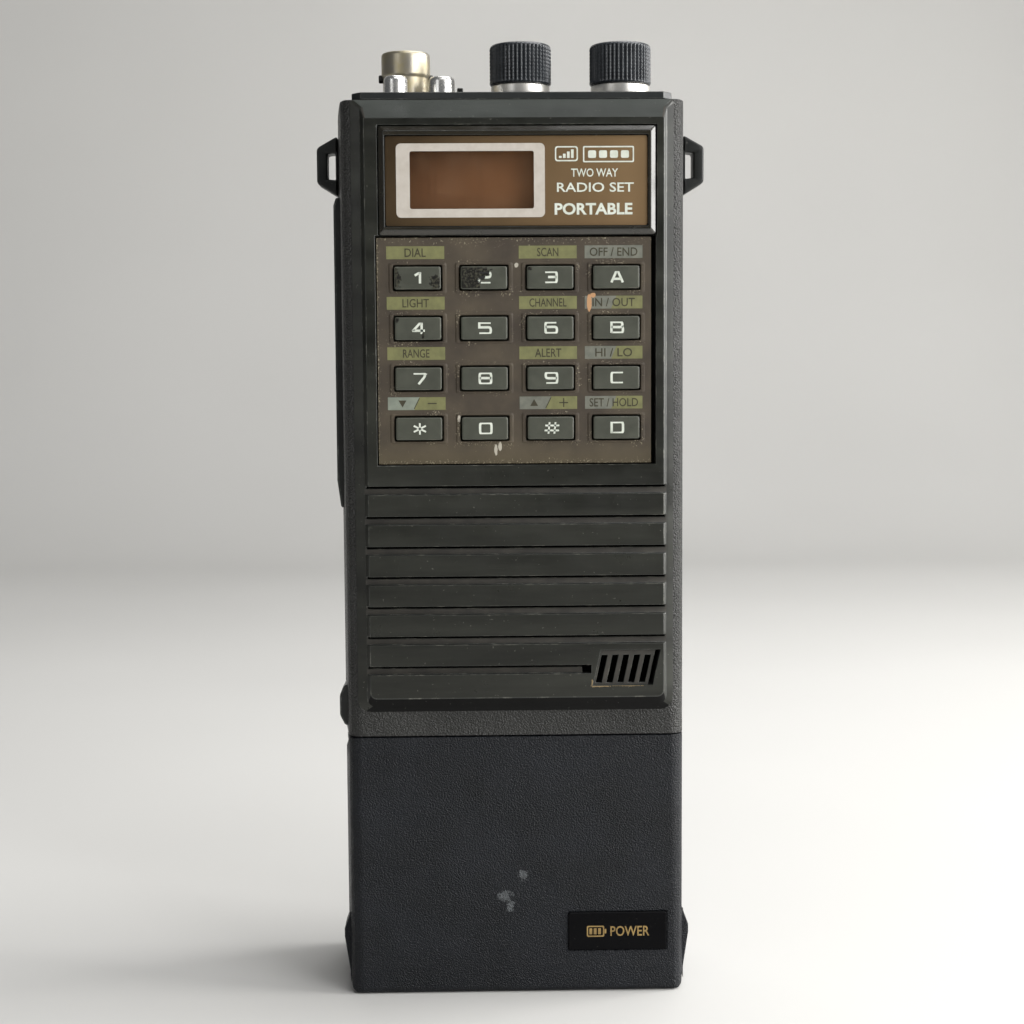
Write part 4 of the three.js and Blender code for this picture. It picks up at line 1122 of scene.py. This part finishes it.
def keypad_plate():
    """The painted plate and its sixteen rims."""
    softened("keypad_face", "keypad_plate", HOUSING, [PLATE, PLATE], 0.12)
    bm = bmesh.new()
    for mark in "".join(KEY_ROWS):
        spot = centre_mm(key_node(mark))
        add_key_rim(bm, spot.x, spot.z)
    make_object("keypad_rims", bm, [PLATE], HOUSING)


# Function words over the keys: column, row, then one or two fields of ink and word.
LABELS = [
    (0, 0, [("olive", "DIAL")]),
    (2, 0, [("olive", "SCAN")]),
    (3, 0, [("grey", "OFF / END")]),
    (0, 1, [("olive", "LIGHT")]),
    (2, 1, [("olive", "CHANNEL")]),
    (3, 1, [("grey", "IN / "), ("olive", "OUT")]),
    (0, 2, [("olive", "RANGE")]),
    (2, 2, [("olive", "ALERT")]),
    (3, 2, [("grey", "HI / "), ("olive", "LO")]),
    (0, 3, [("pale", "down"), ("olive", "minus")]),
    (2, 3, [("grey", "up"), ("olive", "plus")]),
    (3, 3, [("grey", "SET / "), ("olive", "HOLD")]),
]
INKS = ["olive", "grey", "pale"]
LABEL_SHIFT = {0: -0.4, 2: -0.4, 3: -0.45}
SLANT = 0.5
WORD_HEIGHT = 1.6
WORD_WIDEST = 9.2
SYMBOL_HALF = 0.85
SYMBOL_STROKE = 0.22


def add_symbol(bm, word, x, z, ink_y):
    """A small triangle, plus or minus."""
    if word in ("up", "down"):
        way = 1 if word == "up" else -1
        points = [(x - 0.75, z - 0.6 * way), (x + 0.75, z - 0.6 * way), (x, z + 0.7 * way)]
        if way < 0:
            points.reverse()
        add_tile(bm, points, ink_y, INK_DEPTH)
        return
    add_stroke(bm, [(x - SYMBOL_HALF, z), (x + SYMBOL_HALF, z)], SYMBOL_STROKE, ink_y)
    if word == "plus":
        add_stroke(bm, [(x, z - SYMBOL_HALF), (x, z + SYMBOL_HALF)], SYMBOL_STROKE, ink_y)


def add_fields(bm, x, z, front_y, inks):
    """One field over a key, or two that meet on a slant."""
    left, right = x - LABEL_SIZE[0] / 2, x + LABEL_SIZE[0] / 2
    bottom, top = z - LABEL_SIZE[1] / 2, z + LABEL_SIZE[1] / 2
    two = len(inks) == 2
    split, lean = (x, SLANT) if two else (right, 0)
    first = [(left, bottom), (split - lean, bottom), (split + lean, top), (left, top)]
    add_tile(bm, first, front_y, INK_DEPTH, inks[0])
    if two:
        second = [(split - lean, bottom), (right, bottom), (right, top), (split + lean, top)]
        add_tile(bm, second, front_y, INK_DEPTH, inks[1])


def keypad_labels():
    """The coloured fields over the keys and the words on them."""
    fields = bmesh.new()
    words = bmesh.new()
    field_y = PLATE_Y - INK_DEPTH
    word_y = field_y - INK_DEPTH
    for column, row, parts in LABELS:
        x = key_first.x + KEY_PITCH_X * column + LABEL_SHIFT[column]
        z = key_first.z - KEY_PITCH_Z * row + LABEL_RISE_Z
        add_fields(fields, x, z, field_y, [INKS.index(ink) for ink, word in parts])
        if parts[0][1] in ("up", "down"):
            add_symbol(words, parts[0][1], x - 2.7, z, word_y)
            add_symbol(words, parts[1][1], x + 2.9, z, word_y)
            add_stroke(words, [(x - 0.5, z - 1), (x + 0.5, z + 1)], 0.16, word_y)
            continue
        text = "".join(word for ink, word in parts)
        width = min(1.0 * len(text), WORD_WIDEST)
        add_text(words, text, x, z, word_y, WORD_HEIGHT, width, weight=0.008)
    make_object("keypad_fields", fields, [OLIVE_INK, GREY_INK, PALE_INK], HOUSING)
    make_object("keypad_words", words, [DARK_INK], HOUSING, weighted=False)


def keypad():
    """Plate, labels and every key."""
    keypad_plate()
    keypad_labels()
    for mark in "".join(KEY_ROWS):
        key_cap(mark)


# ---------------------------------------------------------------- top fittings

TEETH = 44
TOOTH_STEPS = 6
TOOTH_DEPTH = 0.38
NOTCH_PITCH = 0.69
NOTCH_DEPTH = 0.1
GRIP_ROWS = 42
GRIP_LIP = 0.35
FITTING_BORE = 3.2


def knurl_depth(step, z):
    """How far the knurling sinks at a step round the knob and a height."""
    phase = (step % TOOTH_STEPS) / TOOTH_STEPS
    groove = 0.5 - 0.5 * math.cos(2 * math.pi * phase)
    notch = 0.5 + 0.5 * math.cos(2 * math.pi * z / NOTCH_PITCH)
    return TOOTH_DEPTH * groove**1.3 + NOTCH_DEPTH * notch**2


def knob_profile(outer, bottom, top):
    """Radius and height round a knob: bore, foot, many rows of grip, shoulder and dish."""
    inner = FITTING_BORE
    profile = [(inner, top - 1.5), (inner, bottom), (outer - 0.35, bottom), (outer - 0.12, bottom + 0.12)]
    lowest = bottom + GRIP_LIP
    highest = top - 0.8
    profile += [(outer, lowest + (highest - lowest) * i / GRIP_ROWS) for i in range(GRIP_ROWS + 1)]
    return profile + [
        (outer - 0.08, top - 0.55),
        (outer - 0.3, top - 0.2),
        (outer - 0.7, top - 0.03),
        (outer - 1.1, top),
        (outer - 1.35, top - 0.12),
        (outer - 1.6, top - 0.3),
        (2.0, top - 0.34),
        (0, top - 0.35),
    ]


def knob(name, body):
    """Knurled grip with a rounded shoulder, a shallow dish on top and a pointer line."""
    low, high, x, y = upright_mm(name)
    top = high.z
    outer = (high.x - low.x) / 2

    bm = bmesh.new()
    add_lathe(bm, (x, y), knob_profile(outer, low.z, top), TEETH * TOOTH_STEPS)
    for vertex in bm.verts:
        z = vertex.co.z / MM
        r = math.hypot(vertex.co.x / MM - x, vertex.co.y / MM - y)
        if r < outer - 0.3 or z > top - 0.75 or z < low.z + GRIP_LIP:
            continue
        angle = math.atan2(vertex.co.y / MM - y, vertex.co.x / MM - x)
        r -= knurl_depth(round(angle / (2 * math.pi) * TEETH * TOOTH_STEPS), z)
        vertex.co.x = (x + r * math.cos(angle)) * MM
        vertex.co.y = (y + r * math.sin(angle)) * MM
    piece = make_object(name + "_grip", bm, [KNOB], body, smooth_angle=50, weighted=False)
    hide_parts(name)

    bm = bmesh.new()
    add_box(bm, (x - 0.22, y - outer + 1.7, top - 0.33), (x + 0.22, y - 1.6, top - 0.2))
    make_object(name + "_pointer", bm, [LINE_INK], body, weighted=False)


def collar(name, body):
    """Bright turned ring under the knob, slightly tapered towards the lid."""
    low, high, x, y = upright_mm(name)
    r = (high.x - low.x) / 2
    bore = FITTING_BORE
    profile = [
        (bore, low.z),
        (r - 0.45, low.z),
        (r - 0.28, low.z + 0.12),
        (r - 0.06, low.z + 1.1),
        (r, low.z + 1.5),
        (r, high.z - 0.15),
        (r - 0.15, high.z),
        (bore, high.z),
        (bore, low.z),
    ]
    bm = bmesh.new()
    add_lathe(bm, (x, y), profile, 96)
    bmesh.ops.remove_doubles(bm, verts=bm.verts, dist=1e-7)
    piece = make_object(name + "_ring", bm, [COLLAR], body, weighted=False)
    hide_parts(name)


SOCKET_FLOOR_Z = 175.5
STUD_Z = 178.4
STUD_ROOT = 4.1
STUD_STEPS = 20
CONTACT_FOOT_Z = 177


def socket_barrel():
    """Flanged barrel with a rolled rim and two studs for the plug."""
    low, high, x, y = upright_mm("antenna_socket")
    seat = lid_high.z + 0.2
    top = high.z
    profile = [
        (0, low.z),
        (4.2, low.z),
        (4.2, seat),
        (5.2, seat),
        (5.3, seat + 0.1),
        (5.3, seat + 0.65),
        (5.15, seat + 0.8),
        (4.55, seat + 0.85),
        (4.5, seat + 1),
        (4.5, top - 5.1),
        (4.56, top - 4.8),
        (4.74, top - 4.5),
        (4.8, top - 4.2),
        (4.8, top - 0.65),
        (4.72, top - 0.28),
        (4.5, top - 0.06),
        (4.28, top),
        (4.1, top - 0.1),
        (4.05, top - 0.3),
        (4.05, SOCKET_FLOOR_Z),
        (0, SOCKET_FLOOR_Z),
    ]
    bm = bmesh.new()
    add_lathe(bm, (x, y), profile, 80)
    for side in (-1, 1):
        add_stud(bm, x + side * STUD_ROOT, y, STUD_Z, 0.8, side * 1.25, 1)
    piece = make_object("socket_barrel", bm, [NICKEL, BLACK_STEEL], HOUSING)
    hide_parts("antenna_socket")


def socket_core():
    """Insulator with a well, and the hollow centre contact standing in it."""
    x, y = upright_mm("antenna_socket")[2:]
    foot = CONTACT_FOOT_Z
    rim = foot + 4.6
    back = foot - 1.2
    well = [(0, foot), (1.0, foot), (1.0, rim - 0.2), (1.15, rim)]
    bm = bmesh.new()
    add_lathe(bm, (x, y), well + [(2.2, rim), (2.4, rim - 0.2), (2.4, back), (0, back)], 48)
    bmesh.ops.reverse_faces(bm, faces=bm.faces)
    piece = make_object("socket_insulator", bm, [TEFLON], HOUSING)
    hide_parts("antenna_insulator")

    bm = bmesh.new()
    wall = [(0, foot + 0.05), (0.7, foot + 0.05), (0.7, foot + 3.9), (0.6, foot + 4)]
    add_lathe(bm, (x, y), wall + [(0.35, foot + 4), (0.35, foot + 1), (0, foot + 1)], 32)
    make_object("socket_contact", bm, [GOLD], HOUSING)


def add_stud(bm, x, y, z, r, reach, material):
    """A short round stud along X with a softened end."""
    rings = []
    for share, radius in ((0, r), (0.85, r), (0.97, r * 0.9), (1, r * 0.7)):
        ring = []
        for i in range(STUD_STEPS):
            angle = 2 * math.pi * i / STUD_STEPS
            place = (x + reach * share, y + radius * math.cos(angle), z + radius * math.sin(angle))
            ring.append(bm.verts.new(Vector(place) * MM))
        rings.append(ring)
    faces = [rings[-1], rings[0][::-1]]
    for near, far in zip(rings, rings[1:]):
        for i in range(STUD_STEPS):
            j = (i + 1) % STUD_STEPS
            faces.append([near[i], near[j], far[j], far[i]])
    for corners in faces:
        face = bm.faces.new(corners if reach > 0 else corners[::-1])
        face.material_index = material


JACK_FLOOR_Z = 168


def jack_sleeve(node, r, bore):
    """Round smooth jack with a rounded mouth, and its wider body under the lid."""
    low, high, x, y = upright_mm(node)
    top = high.z
    shoulder = lid_low.z - 0.3
    profile = [
        (0, low.z),
        (2.8, low.z),
        (2.8, shoulder),
        (r, shoulder),
        (r, top - 0.9),
        (r - 0.1, top - 0.45),
        (r - 0.35, top - 0.12),
        (r - 0.6, top),
        (bore + 0.15, top),
        (bore, top - 0.15),
        (bore, JACK_FLOOR_Z),
        (0, JACK_FLOOR_Z),
    ]
    bm = bmesh.new()
    add_lathe(bm, (x, y), profile, 64)
    piece = make_object(node + "_sleeve", bm, [CHROME], HOUSING)
    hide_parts(node)


def top_fittings():
    """Knobs, collars, antenna socket and jacks."""
    for control in ("volume", "squelch"):
        knob(control + "_knob", control + "_control")
        collar(control + "_collar", control + "_control")
    socket_barrel()
    socket_core()
    jack_sleeve("microphone_jack", 2.25, 1.3)
    jack_sleeve("earphone_jack", 2.55, 1.8)


# ---------------------------------------------------------------- battery


BATTERY_EDGE_X = 30.5
BATTERY_EDGE_Y = 15.9
BATTERY_FRONT_Y = SKIN_Y + 1.5
BATTERY_FOOT_Z = 1


def battery_outside(edge):
    """Edges on the outer faces of the battery case."""
    return all(
        abs(v.co.x) > BATTERY_EDGE_X * MM
        or v.co.y < BATTERY_FRONT_Y * MM
        or v.co.y > BATTERY_EDGE_Y * MM
        or v.co.z < BATTERY_FOOT_Z * MM
        for v in edge.verts
    )


def label_plate():
    """Glossy label with a slightly raised middle."""
    low, high = box_mm("battery_label")
    outline = (low.x, high.x, low.z, high.z)
    sections = [
        (low.y, panel_points(outline, 0.25, 0.15)),
        (low.y + 0.12, panel_points(outline, 0.35)),
        (high.y, panel_points(outline, 0.35)),
    ]
    bm = bmesh.new()
    add_loft(bm, sections)
    plate = make_object("label_plate", bm, [GLOSS], "battery")
    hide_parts("battery_label")


def label_print():
    """A drawing of a battery cell and a word."""
    low, high = box_mm("battery_label")
    bm = bmesh.new()
    ink_y = low.y - 0.02
    x = (low.x + high.x) / 2
    z = (low.z + high.z) / 2
    cell = ring_points(x - 6, x - 2.6, z - 1.1, z + 1.1, 0.3)
    add_frame(bm, cell, ring_points(x - 5.75, x - 2.85, z - 0.85, z + 0.85, 0.2), ink_y, ink_y + INK_DEPTH)
    add_tile(bm, ring_points(x - 2.55, x - 2.2, z - 0.45, z + 0.45, 0.1), ink_y, INK_DEPTH)
    for i in range(3):
        left = x - 5.5 + i * 0.85
        add_tile(bm, ring_points(left, left + 0.55, z - 0.6, z + 0.6, 0.08), ink_y, INK_DEPTH)
    add_text(bm, "POWER", x + 2.4, z, ink_y, 2.0, 7.6, weight=0.01)
    make_object("label_print", bm, [GOLD_INK], "battery", weighted=False)


def battery():
    """The battery's case and cover, and its label."""
    skins = [BATTERY_SKIN, BATTERY_SKIN]
    softened("battery_shell", "battery_case", "battery", skins, 0.25, battery_outside)
    softened("battery_lid", "battery_cover", "battery", skins, 0.2)
    label_plate()
    label_print()


# ---------------------------------------------------------------- inside


# CAD nodes that keep their own shape, by material.
INNER_FINISHES = (
    (RUBBER, ("keypad_mat",)),
    (CAST, ("chassis_frame", "volume_potentiometer", "squelch_potentiometer")),
    (BOARD, ("logic_board", "rf_board")),
    (STEEL, ("speaker_frame", "volume_shaft", "squelch_shaft")),
    (PAPER, ("speaker_cone",)),
    (FELT, ("mic_capsule",)),
    (GLOSS, ("ptt_switch",)),
    (GOLD, ("contact_positive", "contact_negative")),
    (SLEEVE, ("cell_row_front", "cell_row_rear")),
)
CLOTH_Y = -13.45
CLOTH_THICKNESS = 0.12


def inner_parts():
    """Materials of the inner CAD nodes, and the cloth behind the slats."""
    for material, nodes in INNER_FINISHES:
        for node in nodes:
            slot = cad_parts[node].material_slots[0]
            slot.link = "OBJECT"
            slot.material = material
    speaker = centre_mm("speaker_frame")
    outline = ring_points(speaker.x - 19, speaker.x + 19, speaker.z - 18, speaker.z + 17, 3)
    bm = bmesh.new()
    add_tile(bm, outline, CLOTH_Y, CLOTH_THICKNESS)
    make_object("speaker_cloth", bm, [CLOTH], HOUSING)


# ---------------------------------------------------------------- stage


# The stage's sizes, in metres.
FLOOR_REACH = 1.2
FLOOR_BACK = 0.7
SWEEP_RADIUS = 0.3
BACKDROP_HEIGHT = 1.4
STAGE_HALF = 1.5
SWEEP_STEPS = 12


def make_stage():
    """Pale floor that sweeps up into the backdrop."""
    s = Shader("pale_paper", Roughness=0.9, Specular_IOR_Level=0.2)
    soft = s.noise(300, detail=2)
    s.set(Base_Color=s.mix(s.ramp(soft, 0.3, 0.7), (206, 205, 202), (212, 211, 208)))
    profile = [(-FLOOR_REACH, 0), (FLOOR_BACK, 0)]
    for i in range(1, SWEEP_STEPS + 1):
        angle = math.radians(90 * i / SWEEP_STEPS)
        rise = SWEEP_RADIUS - SWEEP_RADIUS * math.cos(angle)
        profile.append((FLOOR_BACK + SWEEP_RADIUS * math.sin(angle), rise))
    profile.append((FLOOR_BACK + SWEEP_RADIUS, BACKDROP_HEIGHT))
    bm = bmesh.new()
    rows = [[bm.verts.new((x, y, z)) for y, z in profile] for x in (-STAGE_HALF, STAGE_HALF)]
    for i in range(len(profile) - 1):
        bm.faces.new((rows[0][i], rows[1][i], rows[1][i + 1], rows[0][i + 1]))
    mesh = bpy.data.meshes.new("floor")
    bm.to_mesh(mesh)
    bm.free()
    mesh.materials.append(s.material)
    for polygon in mesh.polygons:
        polygon.use_smooth = True
    floor = bpy.data.objects.new("floor", mesh)
    bpy.context.scene.collection.objects.link(floor)


make_camera()
make_lights()
make_stage()
housing()
display()
keypad()
top_fittings()
battery()
inner_parts()
